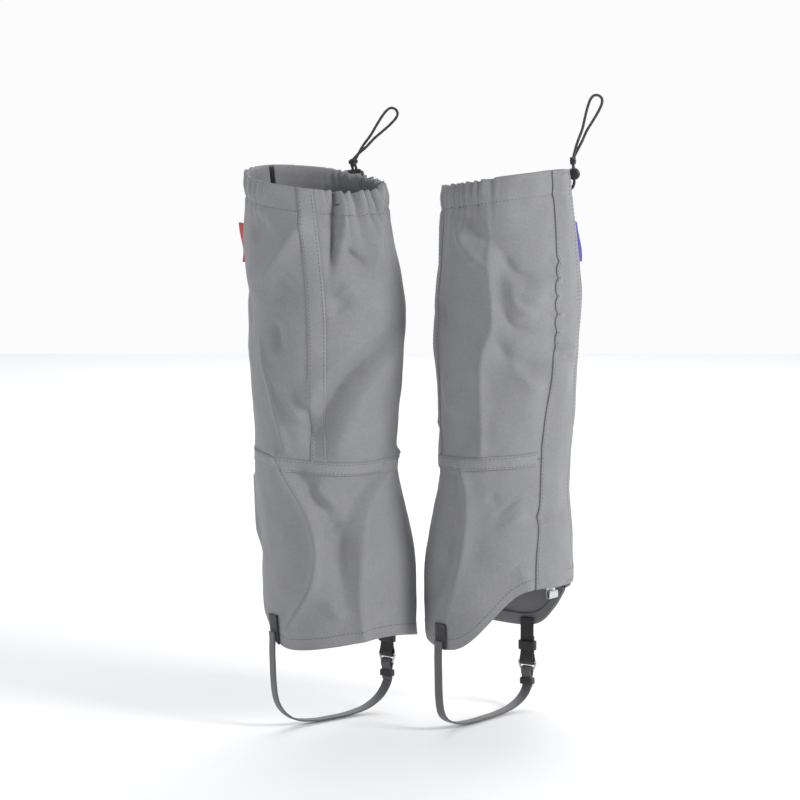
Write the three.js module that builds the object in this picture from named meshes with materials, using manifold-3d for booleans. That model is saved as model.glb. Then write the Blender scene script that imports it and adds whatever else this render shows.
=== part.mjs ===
// A pair of knee-high hiking gaiters, as they hang when they are worn.
// Millimetres, +Z up, the wearer faces -Y, and Z = 0 is the plane of the soles.
// The left gaiter stands at +X and the right one, its mirror image, at -X. The garments are turned on
// their legs, so every place on one is given by its girth angle: 0 is the garment's own front, where it
// opens, and positive angles run towards the buckle side.

import * as THREE from 'three';
import { mergeVertices } from 'three/addons/utils/BufferGeometryUtils.js';
import Module from 'manifold-3d';

const wasm = await Module();
wasm.setup();

// ---- Driving dimensions -------------------------------------------------------------------------

// Heights above the soles.
const TOP_HEIGHT = 511;
const CALF_HEIGHT = 398;
const SEAM_HEIGHT = 252;
const ANKLE_HEIGHT = 150;
const LOW_HEIGHT = 75;

// Half sizes of the sleeve across the leg and along it, from heel to toe.
const TOP_HALF = [54, 62];
const CALF_HALF = [64, 73];
const SEAM_HALF = [58, 65];
const ANKLE_HALF = [66, 71];
const LOW_HALF = [67, 69];

const TOP_RISE = 9;
const SEAM_RISE = 5;
const FRONT_HEM_HEIGHT = 137;
const STRAP_HEM_HEIGHT = 78;
const BACK_HEM_HEIGHT = 91;
const HEM_POINT_ANGLE = 98;

const FABRIC = 1.6;
const FACING = 0.9;
const TAPE = 1.1;
const LAYER_GAP = 0.6;
const FACE_GAP = 0.3;

const CASING_DEPTH = 24;
const CALF_BAND_DEPTH = 12;
const HEM_FACING_DEPTH = 12;
const SEAM_STRIP_WIDTH = 14;
const SEAM_STRIP_ANGLE = -137;

// The flap that covers the opening, from its sewn edge to its free edge.
const FLAP_SEWN_TOP = -7;
const FLAP_SEWN_BOTTOM = -25;
const FLAP_FREE_TOP = 22;
const FLAP_FREE_BOTTOM = 27;
const TAPE_FROM = 6;
const TAPE_TO = 19;
const TAPE_END_MARGIN = 8;
const OPENING_ANGLE = 5;

const LABEL_HEIGHT = 37;
const LABEL_WIDTH = 13;
const LABEL_STAND_OFF = 6;
const LABEL_ABOVE_CALF = 51.8;

const CORD_DIAMETER = 2.6;
const CORD_SPREAD = 1.9;
const CORD_CLEARANCE = 0.3;
const CORD_EXIT_DROP = 20;
const EYELET_RIM = 2.4;
const EYELET_THICKNESS = 0.8;
const CORD_SIDES = 8;
const CORD_STEPS = 66;

const LOCK_RADIUS = 5.4;
const LOCK_BORE_RADIUS = 4.1;
const LOCK_LENGTH = 17.5;
const LOCK_FLOOR = 1.5;
const LOCK_LIP = 1.6;
const LOCK_UP_THE_CORD = 0.4;
const BUTTON_CLEARANCE = 0.3;
const BUTTON_TRAVEL = 2.5;
const BUTTON_CAP = 3;
const SPRING_RADIUS = 2.2;
const SPRING_WIRE = 0.6;
const SPRING_LENGTH = 2.4;
const SPRING_TURNS = 3;
const SPRING_STEPS_A_TURN = 10;
const SPRING_SEAT_DEPTH = 3.2;
const KNOT_RADIUS = 4.7;
const KNOT_STRETCH = [1.15, 1, 0.9];

const WEBBING_WIDTH = 14;
const WEBBING = 1.4;
const STRAP_WIDTH = 10;
const STRAP = 1.8;
const STRAP_STAND_OFF = 0.9;
const STRAP_TAB_HEIGHT = 24;
const PIVOT_ABOVE_HEM = 2;
const STRAP_TOP_ABOVE_PIVOT = 6;
const STRAP_STRAIGHT = 18;
const RING_BAR = 2.2;
const RING_HEIGHT = 8;
const RING_CENTRE_BELOW_PIVOT = 41;
const SLIDER_ABOVE_RING = 16;
const WEBBING_FOLD = 8;
const KEEPER_BELOW_RING = 11;
const SLIDER_HEIGHT = 9;
const SLIDER_WALL = 1.6;
const KEEPER_HEIGHT = 6;

const HOOK_WIDTH = 12;
const HOOK_SHEET = 0.9;
const HOOK_DROP = 10;
const HOOK_REACH = 4.5;
const HOOK_PLATE_HEIGHT = 13;
const HOOK_ANGLE = -10;
const RIVET_RADIUS = 2.4;
const RIVET_HEAD = 0.6;

// Where the two garments differ: the leg under each, and how far the garment is turned on it.
// insides are the distances from the middle plane to the sleeve's inner side, at the lowest, ankle, seam,
// calf and top heights, and sideways says which of the half sizes points along X.
const LEFT = {
  name: 'left', side: 1, front: 55, legTurn: 0, sideways: 0,
  insides: [8, 9, 22, 19, 28],
  cordAngle: 33, cordLean: 92, cordTilt: 22, labelAngle: 41, tabAngle: -104, buckleAngle: 95,
  labelColor: 0x4b3fa6,
};
const RIGHT = {
  name: 'right', side: -1, front: -142, legTurn: -85, sideways: 1,
  insides: [-1, 1, 18, 11, 34],
  cordAngle: 71, cordLean: 88, cordTilt: 40, labelAngle: -48, tabAngle: -82, buckleAngle: 77,
  labelColor: 0xb01220,
};

// ---- The sleeve's surface -----------------------------------------------------------------------

const HEIGHTS = [LOW_HEIGHT, ANKLE_HEIGHT, SEAM_HEIGHT, CALF_HEIGHT, TOP_HEIGHT];
const HALVES = [LOW_HALF, ANKLE_HALF, SEAM_HALF, CALF_HALF, TOP_HALF];
const UP = new THREE.Vector3(0, 0, 1);

function radians(degrees) {
  return THREE.MathUtils.degToRad(degrees);
}

function compass(degrees) {
  return new THREE.Vector3(Math.sin(radians(degrees)), -Math.cos(radians(degrees)), 0);
}

function profileOf(leg) {
  const rows = HALVES.flatMap((halves, i) => [leg.side * (leg.insides[i] + halves[leg.sideways]), ...halves]);
  const curve = new THREE.CubicInterpolant(HEIGHTS, rows, 3, new Float32Array(3));
  return (height) => Array.from(curve.evaluate(THREE.MathUtils.clamp(height, LOW_HEIGHT, TOP_HEIGHT)));
}

for (const leg of [LEFT, RIGHT]) {
  leg.profile = profileOf(leg);
}

// The sleeve's frame at a girth angle and height: where it is, which way is out, and which way is along.
function skin(leg, angle, height) {
  const [centre, halfAcross, halfAlong] = leg.profile(height);
  const turn = radians(leg.front + leg.side * angle - leg.legTurn);
  const across = compass(leg.legTurn + 90);
  const along = compass(leg.legTurn);
  const point = new THREE.Vector3(centre, 0, height);
  point.addScaledVector(across, halfAcross * Math.sin(turn));
  point.addScaledVector(along, halfAlong * Math.cos(turn));
  const out = across.clone().multiplyScalar(Math.sin(turn) / halfAcross);
  out.addScaledVector(along, Math.cos(turn) / halfAlong).normalize();
  const tangent = new THREE.Vector3().crossVectors(UP, out).multiplyScalar(leg.side);
  return { point, out, tangent };
}

function onSkin(leg, angle, height, offset) {
  const { point, out } = skin(leg, angle, height);
  return point.addScaledVector(out, offset);
}

// The frame of a flat piece that lies against the sleeve: along the girth, up the wall and out of it.
function wallFrame(leg, angle, height) {
  const { point, tangent } = skin(leg, angle, height);
  const higher = skin(leg, angle, height + 1).point;
  const up = higher.sub(point).normalize();
  const across = tangent.clone().addScaledVector(up, -tangent.dot(up)).normalize();
  const outward = new THREE.Vector3().crossVectors(across, up).multiplyScalar(leg.side);
  return { point, across, up, outward };
}

// Degrees of girth that a length takes up at a height.
function degreesFor(leg, length, height) {
  const [, halfAcross, halfAlong] = leg.profile(height);
  return THREE.MathUtils.radToDeg(length / ((halfAcross + halfAlong) / 2));
}

function topAt(angle) {
  return TOP_HEIGHT + TOP_RISE * Math.cos(radians(angle));
}

function seamAt(angle) {
  return SEAM_HEIGHT + SEAM_RISE * Math.cos(radians(angle));
}

// The hem is high over the instep, comes down to a point at each strap and rises a little at the heel.
function hemAt(angle) {
  const away = Math.abs(THREE.MathUtils.euclideanModulo(angle + 180, 360) - 180);
  if (away < HEM_POINT_ANGLE) {
    const drop = THREE.MathUtils.smootherstep(away, HEM_POINT_ANGLE / 5, HEM_POINT_ANGLE * 1.05);
    return THREE.MathUtils.lerp(FRONT_HEM_HEIGHT, STRAP_HEM_HEIGHT, drop);
  }
  const rise = THREE.MathUtils.smoothstep(away, HEM_POINT_ANGLE, 180);
  return THREE.MathUtils.lerp(STRAP_HEM_HEIGHT, BACK_HEM_HEIGHT, rise);
}

// ---- Making solids ------------------------------------------------------------------------------

// Joins the shared corners of a closed geometry and turns its faces outwards.
function closed(geometry) {
  geometry.deleteAttribute('normal');
  geometry.deleteAttribute('uv');
  const merged = mergeVertices(geometry, 1e-4);
  if (signedVolume(merged) < 0) {
    const index = merged.getIndex();
    for (let i = 0; i < index.count; i += 3) {
      const second = index.getX(i + 1);
      index.setX(i + 1, index.getX(i + 2));
      index.setX(i + 2, second);
    }
  }
  merged.computeVertexNormals();
  return merged;
}

function signedVolume(geometry) {
  const position = geometry.getAttribute('position');
  const index = geometry.getIndex();
  const corners = [new THREE.Vector3(), new THREE.Vector3(), new THREE.Vector3()];
  let volume = 0;
  for (let i = 0; i < index.count; i += 3) {
    corners.forEach((corner, k) => corner.fromBufferAttribute(position, index.getX(i + k)));
    volume += corners[0].dot(corners[1].clone().cross(corners[2])) / 6;
  }
  return volume;
}

function toManifold(geometry) {
  const ready = closed(geometry);
  const vertProperties = new Float32Array(ready.getAttribute('position').array);
  const triVerts = new Uint32Array(ready.getIndex().array);
  return new wasm.Manifold(new wasm.Mesh({ numProp: 3, vertProperties, triVerts }));
}

function fromManifold(manifold) {
  const mesh = manifold.getMesh();
  const geometry = new THREE.BufferGeometry();
  geometry.setAttribute('position', new THREE.BufferAttribute(new Float32Array(mesh.vertProperties), 3));
  geometry.setIndex(new THREE.BufferAttribute(new Uint32Array(mesh.triVerts), 1));
  geometry.computeVertexNormals();
  return geometry;
}

function cut(geometry, ...tools) {
  let result = toManifold(geometry);
  for (const tool of tools) {
    result = result.subtract(toManifold(tool));
  }
  return fromManifold(result);
}

// Bends a unit block: place(u, v, w) gives the point for each of its fractions along, up and through.
function bentBlock(alongSteps, upSteps, place) {
  const geometry = new THREE.BoxGeometry(1, 1, 1, alongSteps, upSteps, 1);
  const position = geometry.getAttribute('position');
  for (let i = 0; i < position.count; i += 1) {
    const target = place(position.getX(i) + 0.5, position.getY(i) + 0.5, position.getZ(i) + 0.5);
    position.setXYZ(i, target.x, target.y, target.z);
  }
  return closed(geometry);
}

// A layer of cloth that follows the sleeve. from, to, low and high may change along the layer.
function layer(leg, { from, to, low, high, inner, outer, alongSteps, upSteps }) {
  return bentBlock(alongSteps, upSteps, (u, v, w) => {
    const middle = THREE.MathUtils.lerp(from(v), to(v), u);
    const height = THREE.MathUtils.lerp(low(middle), high(middle), v);
    return onSkin(leg, middle, height, THREE.MathUtils.lerp(inner, outer, w));
  });
}

function steady(value) {
  return () => value;
}

// A flat band along a curve. widthAt gives the direction across the band at each fraction of its length.
function ribbon(curve, widthAt, width, thickness, steps) {
  return bentBlock(steps, 1, (u, v, w) => {
    const across = widthAt(u);
    const face = new THREE.Vector3().crossVectors(curve.getTangentAt(u), across).normalize();
    const point = curve.getPointAt(u);
    point.addScaledVector(across, (v - 0.5) * width);
    return point.addScaledVector(face, (w - 0.5) * thickness);
  });
}

// A block in a frame given by its centre and its three directions, which are across, up and through.
function framed(geometry, centre, across, up, through) {
  const matrix = new THREE.Matrix4().makeBasis(across, up, through).setPosition(centre);
  return geometry.applyMatrix4(matrix);
}

function stadium(halfLength, radius) {
  const shape = new THREE.Shape();
  shape.absarc(halfLength, 0, radius, -Math.PI / 2, Math.PI / 2);
  shape.absarc(-halfLength, 0, radius, Math.PI / 2, Math.PI * 1.5);
  return shape;
}

function tube(curve, radius, sides, steps) {
  const section = new THREE.Shape();
  section.setFromPoints(Array.from({ length: sides }, (_, i) => {
    const turn = (i / sides) * Math.PI * 2;
    return new THREE.Vector2(radius * Math.cos(turn), radius * Math.sin(turn));
  }));
  return new THREE.ExtrudeGeometry(section, { steps, extrudePath: curve, curveSegments: 1 });
}

const FINISHES = {
  cloth: { color: 0x9c9c9e, roughness: 0.85, metalness: 0 },
  clothFacing: { color: 0x8a8a8d, roughness: 0.9, metalness: 0 },
  tape: { color: 0x17171a, roughness: 0.95, metalness: 0 },
  webbing: { color: 0x1d1d20, roughness: 0.8, metalness: 0 },
  strap: { color: 0x4a4a4d, roughness: 0.7, metalness: 0 },
  plastic: { color: 0x26262a, roughness: 0.45, metalness: 0 },
  cord: { color: 0x3a3a3e, roughness: 0.8, metalness: 0 },
  steel: { color: 0xb9bcc0, roughness: 0.3, metalness: 1 },
};

const gaiters = new THREE.Group();

function add(name, geometry, finish) {
  const mesh = new THREE.Mesh(geometry, new THREE.MeshStandardMaterial(finish));
  mesh.name = name;
  gaiters.add(mesh);
}

// ---- The sleeve ---------------------------------------------------------------------------------

const TAPE_SURFACE = FABRIC + LAYER_GAP;
const LOOP_SURFACE = TAPE_SURFACE + TAPE + LAYER_GAP;
const FLAP_SURFACE = LOOP_SURFACE + TAPE + LAYER_GAP;
const GIRTH_STEPS = 36;

// How far up the flap's sewn edge the calf seam meets it.
const SEAM_UP_THE_FLAP = 0.3;

function sewnEdge(fraction) {
  return THREE.MathUtils.lerp(FLAP_SEWN_BOTTOM, FLAP_SEWN_TOP, fraction);
}

function freeEdge(fraction) {
  return THREE.MathUtils.lerp(FLAP_FREE_BOTTOM, FLAP_FREE_TOP, fraction);
}

// The sleeve is one wrap of cloth whose edges meet under the flap.
const WRAP = { from: steady(0), to: steady(360 - OPENING_ANGLE) };

function upperShell(leg) {
  const wall = layer(leg, {
    ...WRAP, low: (angle) => seamAt(angle) + FACE_GAP / 2, high: topAt,
    inner: 0, outer: FABRIC, alongSteps: GIRTH_STEPS, upSteps: 11,
  });
  const exit = cordExit(leg);
  const hole = new THREE.ExtrudeGeometry(stadium(CORD_SPREAD, CORD_DIAMETER / 2 + 2 * CORD_CLEARANCE), {
    depth: 4 * FABRIC, bevelEnabled: false, curveSegments: 6,
  }).translate(0, 0, -2 * FABRIC);
  return cut(wall, framed(hole, exit.point, exit.across, exit.up, exit.outward));
}

function lowerShell(leg) {
  return layer(leg, {
    ...WRAP, low: hemAt, high: (angle) => seamAt(angle) - FACE_GAP / 2,
    inner: 0, outer: FABRIC, alongSteps: GIRTH_STEPS, upSteps: 7,
  });
}

// The top of the cloth is turned in to make the tunnel for the drawcord; this is the turned-in part.
const TUNNEL = CORD_DIAMETER + 2 * LAYER_GAP;

function topCasing(leg) {
  return layer(leg, {
    ...WRAP, low: (angle) => topAt(angle) - CASING_DEPTH, high: (angle) => topAt(angle) - FACE_GAP,
    inner: -TUNNEL - FACING, outer: -TUNNEL, alongSteps: GIRTH_STEPS, upSteps: 1,
  });
}

function calfBand(leg) {
  const from = TAPE_TO + degreesFor(leg, FACE_GAP * 4, SEAM_HEIGHT);
  return layer(leg, {
    from: steady(from), to: steady(360 - OPENING_ANGLE + sewnEdge(SEAM_UP_THE_FLAP)),
    low: (angle) => seamAt(angle) - CALF_BAND_DEPTH / 2, high: (angle) => seamAt(angle) + CALF_BAND_DEPTH / 2,
    inner: FABRIC + LAYER_GAP, outer: FABRIC + LAYER_GAP + FACING, alongSteps: GIRTH_STEPS, upSteps: 1,
  });
}

function seamStrip(leg) {
  const half = degreesFor(leg, SEAM_STRIP_WIDTH / 2, SEAM_HEIGHT);
  return layer(leg, {
    from: steady(SEAM_STRIP_ANGLE - half), to: steady(SEAM_STRIP_ANGLE + half),
    low: (angle) => seamAt(angle) + CALF_BAND_DEPTH / 2 + FACE_GAP, high: topAt,
    inner: FABRIC + LAYER_GAP, outer: FABRIC + LAYER_GAP + FACING, alongSteps: 2, upSteps: 11,
  });
}

function hemFacing(leg) {
  return layer(leg, {
    ...WRAP, low: (angle) => hemAt(angle) + FACE_GAP, high: (angle) => hemAt(angle) + HEM_FACING_DEPTH,
    inner: -LAYER_GAP - FACING, outer: -LAYER_GAP, alongSteps: GIRTH_STEPS, upSteps: 1,
  });
}

// ---- The closure --------------------------------------------------------------------------------

function flap(leg) {
  return layer(leg, {
    from: sewnEdge, to: freeEdge, low: hemAt, high: topAt,
    inner: FLAP_SURFACE, outer: FLAP_SURFACE + FABRIC, alongSteps: 6, upSteps: 16,
  });
}

function closureTape(leg, surface) {
  return layer(leg, {
    from: steady(TAPE_FROM), to: steady(TAPE_TO),
    low: (angle) => hemAt(angle) - FACE_GAP * 6, high: (angle) => topAt(angle) - TAPE_END_MARGIN,
    inner: surface, outer: surface + TAPE, alongSteps: 2, upSteps: 20,
  });
}

// A folded ribbon label, sewn down along one edge and standing off the cloth at the other.
function label(leg) {
  const height = CALF_HEIGHT + LABEL_ABOVE_CALF;
  const width = degreesFor(leg, LABEL_WIDTH, height);
  return bentBlock(3, 3, (u, v, w) => {
    const angle = leg.labelAngle + width * u;
    const lift = FABRIC + LAYER_GAP + LABEL_STAND_OFF * u * u;
    return onSkin(leg, angle, height + LABEL_HEIGHT * (v - 0.5), lift + FACING * w);
  });
}

// ---- The lace hook ------------------------------------------------------------------------------

// A bent sheet: a plate riveted to the hem and a hook that reaches below it for the boot's lace.
function laceHook(leg) {
  const wall = wallFrame(leg, HOOK_ANGLE, hemAt(HOOK_ANGLE));
  const bend = HOOK_REACH / 2;
  const side = new THREE.Shape();
  side.moveTo(0, HOOK_PLATE_HEIGHT);
  side.lineTo(0, -HOOK_DROP + bend);
  side.absarc(bend, -HOOK_DROP + bend, bend, Math.PI, Math.PI * 2);
  side.lineTo(HOOK_REACH, -HOOK_REACH / 2);
  side.lineTo(HOOK_REACH - HOOK_SHEET, -HOOK_REACH / 2);
  side.absarc(bend, -HOOK_DROP + bend, bend - HOOK_SHEET, Math.PI * 2, Math.PI, true);
  side.lineTo(HOOK_SHEET, HOOK_PLATE_HEIGHT);
  const sheet = new THREE.ExtrudeGeometry(side, { depth: HOOK_WIDTH, bevelEnabled: false, curveSegments: 8 });
  sheet.translate(FABRIC + LAYER_GAP, 0, -HOOK_WIDTH / 2);
  return closed(framed(sheet, wall.point, wall.outward, wall.up, wall.across));
}

function rivet(leg) {
  const wall = wallFrame(leg, HOOK_ANGLE, hemAt(HOOK_ANGLE));
  const head = new THREE.CylinderGeometry(RIVET_RADIUS * 0.8, RIVET_RADIUS, RIVET_HEAD, 16);
  const standOff = FABRIC + LAYER_GAP + HOOK_SHEET + FACE_GAP + RIVET_HEAD / 2;
  head.translate(0, standOff, HOOK_PLATE_HEIGHT / 2);
  return closed(framed(head, wall.point, wall.across, wall.outward, wall.up));
}

// ---- The drawcord and its lock ------------------------------------------------------------------

function cordExit(leg) {
  return wallFrame(leg, leg.cordAngle, topAt(leg.cordAngle) - CORD_EXIT_DROP);
}

// The two strands leave the eyelet side by side, pass up through the lock and the knot and part into a
// loop that leans away from the leg. Each row is: out from the sleeve, up, along the leaning loop, half
// the distance between the strands, and how far that distance has turned into the plane of the loop.
const CORD_ROUTE = [
  [-0.6, 0, 0, 1.9, 0],
  [3, 0.3, 0, 1.9, 0],
  [6.8, 2.4, 0, 1.9, 0],
  [8.8, 6.4, 0, 1.9, 0],
  [9.2, 11, 0, 1.9, 0],
  [9.4, 16, 0, 1.9, 0],
  [9.6, 21, 0, 1.9, 0],
  [9.8, 27, 0, 1.9, 0],
  [10, 29, 7, 1.9, 30],
  [10, 29, 17, 1.9, 75],
  [10, 29, 28, 2.2, 90],
  [10, 29, 39, 4, 90],
  [10, 29, 49, 5.4, 90],
  [10, 29, 56.5, 5.5, 90],
  [10, 29, 60.4, 3.9, 90],
  [10, 29, 62, 0, 90],
];
const LOCK_ROWS = [4, 6];
const KNOT_ROW = 7;

function cordCurve(leg) {
  const exit = cordExit(leg);
  const lean = compass(leg.cordLean).multiplyScalar(Math.sin(radians(leg.cordTilt)));
  const loopWay = lean.addScaledVector(UP, Math.cos(radians(leg.cordTilt)));
  const loopAcross = new THREE.Vector3().crossVectors(loopWay, compass(180)).normalize();
  const strand = (sign) => CORD_ROUTE.map(([out, up, along, spread, turn]) => {
    const point = exit.point.clone().addScaledVector(exit.outward, out).addScaledVector(exit.up, up);
    point.addScaledVector(loopWay, along);
    point.addScaledVector(exit.across, sign * spread * Math.cos(radians(turn)));
    return point.addScaledVector(loopAcross, -leg.side * sign * spread * Math.sin(radians(turn)));
  });
  return new THREE.CatmullRomCurve3([...strand(1), ...strand(-1).reverse().slice(1)], false, 'centripetal');
}

function drawcord(leg) {
  return closed(tube(cordCurve(leg), CORD_DIAMETER / 2, CORD_SIDES, CORD_STEPS));
}

// The hidden part of the cord lies in the tunnel and stops on each side of the eyelet.
function cordInTunnel(leg) {
  const height = topAt(leg.cordAngle) - CORD_EXIT_DROP;
  const clear = degreesFor(leg, CORD_SPREAD + CORD_DIAMETER + 2 * CORD_CLEARANCE, height);
  const stopAtOpening = 2 * OPENING_ANGLE;
  const drop = CASING_DEPTH / 2;
  const points = [];
  const from = leg.cordAngle + clear;
  const to = 360 - stopAtOpening;
  for (let i = 0; i <= GIRTH_STEPS; i += 1) {
    const angle = THREE.MathUtils.lerp(from, to, i / GIRTH_STEPS);
    points.push(onSkin(leg, angle, topAt(angle) - drop, -TUNNEL / 2));
  }
  return closed(tube(new THREE.CatmullRomCurve3(points), CORD_DIAMETER / 2, CORD_SIDES, GIRTH_STEPS));
}

function eyelet(leg) {
  const exit = cordExit(leg);
  const rim = stadium(CORD_SPREAD, CORD_DIAMETER / 2 + EYELET_RIM);
  rim.holes.push(stadium(CORD_SPREAD, CORD_DIAMETER / 2 + 2 * CORD_CLEARANCE));
  const plate = new THREE.ExtrudeGeometry(rim, {
    depth: EYELET_THICKNESS, bevelEnabled: false, curveSegments: 8,
  });
  plate.translate(0, 0, FABRIC + LAYER_GAP);
  return closed(framed(plate, exit.point, exit.across, exit.up, exit.outward));
}

// The lock's own frame: its barrel lies level across the cord, and up is the way the cord runs.
function lockFrame(leg) {
  const exit = cordExit(leg);
  const place = ([out, up]) => {
    return exit.point.clone().addScaledVector(exit.outward, out).addScaledVector(exit.up, up);
  };
  const [low, high] = LOCK_ROWS.map((row) => place(CORD_ROUTE[row]));
  const up = high.clone().sub(low).normalize();
  const through = new THREE.Vector3().crossVectors(exit.across, up);
  const centre = low.lerp(high, LOCK_UP_THE_CORD);
  return { centre, up, axis: exit.across, through, knot: place(CORD_ROUTE[KNOT_ROW]) };
}

const SLOT_HALF = CORD_SPREAD + CORD_DIAMETER / 2 + CORD_CLEARANCE;

// A slot through the barrel for both strands, longer by the travel where the button has it.
function cordSlot(extra) {
  const slot = stadium(CORD_SPREAD + extra / 2, CORD_DIAMETER / 2 + CORD_CLEARANCE);
  const depth = 4 * LOCK_RADIUS;
  const tool = new THREE.ExtrudeGeometry(slot, { depth, bevelEnabled: false, curveSegments: 5 });
  return tool.translate(-extra / 2, 0, -depth / 2).rotateX(Math.PI / 2);
}

// Along the barrel's own X: the floor is at the low end and the button comes out of the high end.
const BARREL_HIGH = SLOT_HALF + LOCK_LIP;
const BARREL_LOW = BARREL_HIGH - LOCK_LENGTH;

function barrel(radius, low, high) {
  const rod = new THREE.CylinderGeometry(radius, radius, high - low, 24).rotateZ(Math.PI / 2);
  return rod.translate((low + high) / 2, 0, 0);
}

function placeInLock(leg, geometry) {
  const frame = lockFrame(leg);
  return closed(framed(geometry, frame.centre, frame.axis, frame.up, frame.through));
}

function lockBody(leg) {
  const bore = barrel(LOCK_BORE_RADIUS, BARREL_LOW + LOCK_FLOOR, BARREL_HIGH + 1);
  return placeInLock(leg, cut(barrel(LOCK_RADIUS, BARREL_LOW, BARREL_HIGH), bore, cordSlot(0)));
}

const BUTTON_LOW = BARREL_LOW + LOCK_FLOOR + BUTTON_TRAVEL + FACE_GAP;

function lockButton(leg) {
  const radius = LOCK_BORE_RADIUS - BUTTON_CLEARANCE;
  const stem = barrel(radius, BUTTON_LOW, BARREL_HIGH + BUTTON_CAP);
  const springSeat = barrel(SPRING_RADIUS + SPRING_WIRE, BUTTON_LOW - 1, BUTTON_LOW + SPRING_SEAT_DEPTH);
  return placeInLock(leg, cut(stem, springSeat, cordSlot(BUTTON_TRAVEL).translate(BUTTON_TRAVEL, 0, 0)));
}

function lockSpring(leg) {
  const points = [];
  const steps = SPRING_TURNS * SPRING_STEPS_A_TURN;
  const start = BARREL_LOW + LOCK_FLOOR + FACE_GAP + SPRING_WIRE / 2;
  for (let i = 0; i <= steps; i += 1) {
    const turn = (i / SPRING_STEPS_A_TURN) * Math.PI * 2;
    const x = start + (SPRING_LENGTH * i) / steps;
    points.push(new THREE.Vector3(x, SPRING_RADIUS * Math.cos(turn), SPRING_RADIUS * Math.sin(turn)));
  }
  return placeInLock(leg, tube(new THREE.CatmullRomCurve3(points), SPRING_WIRE / 2, 5, steps));
}

function knot(leg) {
  const ball = new THREE.SphereGeometry(KNOT_RADIUS, 16, 10).scale(...KNOT_STRETCH);
  const frame = lockFrame(leg);
  const placed = framed(ball, frame.knot, frame.axis, frame.through, frame.up);
  return cut(placed, tube(cordCurve(leg), CORD_DIAMETER / 2 + FACE_GAP, CORD_SIDES, CORD_STEPS));
}

// ---- The strap under the instep -----------------------------------------------------------------

// The two places where the strap hangs from the hem, and the directions there.
function strapEnds(leg) {
  const tabPivot = hemAt(leg.tabAngle) + PIVOT_ABOVE_HEM;
  const bucklePivot = hemAt(leg.buckleAngle) + PIVOT_ABOVE_HEM;
  const tabOffset = FABRIC + LAYER_GAP + WEBBING + STRAP_STAND_OFF + STRAP / 2;
  const buckleOffset = -LAYER_GAP - FACING - STRAP_STAND_OFF - WEBBING / 2;
  const tab = onSkin(leg, leg.tabAngle, tabPivot, tabOffset);
  const buckle = onSkin(leg, leg.buckleAngle, bucklePivot, buckleOffset);
  const tabAcross = skin(leg, leg.tabAngle, tabPivot).tangent;
  const buckleAcross = skin(leg, leg.buckleAngle, bucklePivot).tangent.negate();
  const inward = tab.clone().sub(buckle).setZ(0).normalize();
  const tabTop = onSkin(leg, leg.tabAngle, tabPivot + STRAP_TOP_ABOVE_PIVOT, tabOffset);
  const buckleTop = onSkin(leg, leg.buckleAngle, bucklePivot + STRAP_TOP_ABOVE_PIVOT, buckleOffset);
  return { tab, buckle, tabAcross, buckleAcross, inward, tabTop, buckleTop };
}

function strapTab(leg) {
  const hem = hemAt(leg.tabAngle);
  const half = degreesFor(leg, WEBBING_WIDTH / 2, hem);
  return layer(leg, {
    from: steady(leg.tabAngle - half), to: steady(leg.tabAngle + half),
    low: (angle) => hemAt(angle) + FACE_GAP, high: steady(hem + STRAP_TAB_HEIGHT),
    inner: FABRIC + LAYER_GAP, outer: FABRIC + LAYER_GAP + WEBBING, alongSteps: 3, upSteps: 2,
  });
}

function buckleFrame(leg) {
  const { buckle, buckleAcross } = strapEnds(leg);
  const facing = new THREE.Vector3().crossVectors(buckleAcross, UP);
  const at = (across, down, through) => buckle.clone().addScaledVector(buckleAcross, across)
    .addScaledVector(UP, -down).addScaledVector(facing, through);
  return { at, across: buckleAcross, facing };
}

const WEBBING_STEPS = 34;
const LOOP_HALF = RING_BAR * 0.8 + FACE_GAP + WEBBING / 2;
const FOLD_HALF = WEBBING / 2 + FACE_GAP / 2;
const RING_TOP_BAR = RING_CENTRE_BELOW_PIVOT - RING_HEIGHT / 2;
const RING_LOW_BAR = RING_CENTRE_BELOW_PIVOT + RING_HEIGHT / 2;
const SLIDER_BELOW_PIVOT = RING_TOP_BAR - SLIDER_ABOVE_RING;

function buckleWebbing(leg) {
  const { at, across } = buckleFrame(leg);
  const points = [
    strapEnds(leg).buckleTop,
    at(0, SLIDER_BELOW_PIVOT - SLIDER_HEIGHT, 0),
    at(0, SLIDER_BELOW_PIVOT, 0),
    at(0, RING_TOP_BAR - WEBBING_FOLD, 0),
    at(0, RING_TOP_BAR, LOOP_HALF - FOLD_HALF),
    at(0, RING_TOP_BAR + LOOP_HALF, -FOLD_HALF),
    at(0, RING_TOP_BAR, -FOLD_HALF - LOOP_HALF),
    at(0, RING_TOP_BAR - WEBBING_FOLD, -2 * FOLD_HALF),
    at(0, SLIDER_BELOW_PIVOT, -2 * FOLD_HALF),
    at(0, SLIDER_BELOW_PIVOT - SLIDER_HEIGHT, -2 * FOLD_HALF),
  ];
  const line = new THREE.CatmullRomCurve3(points, false, 'centripetal');
  return ribbon(line, steady(across), WEBBING_WIDTH, WEBBING, WEBBING_STEPS);
}

function sleeveRing(leg, down, height, slotWidth, slotDepth) {
  const { at, across, facing } = buckleFrame(leg);
  const outer = new THREE.BoxGeometry(slotWidth + 2 * SLIDER_WALL, height, slotDepth + 2 * SLIDER_WALL);
  const slot = new THREE.BoxGeometry(slotWidth, height * 2, slotDepth);
  const sleeve = cut(outer, slot);
  return closed(framed(sleeve, at(0, down, -FOLD_HALF), across, UP.clone(), facing.clone().negate()));
}

function slider(leg) {
  const depth = 2 * WEBBING + FACE_GAP + 2 * FACE_GAP;
  return sleeveRing(leg, SLIDER_BELOW_PIVOT, SLIDER_HEIGHT, WEBBING_WIDTH + 2 * FACE_GAP, depth);
}

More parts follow.
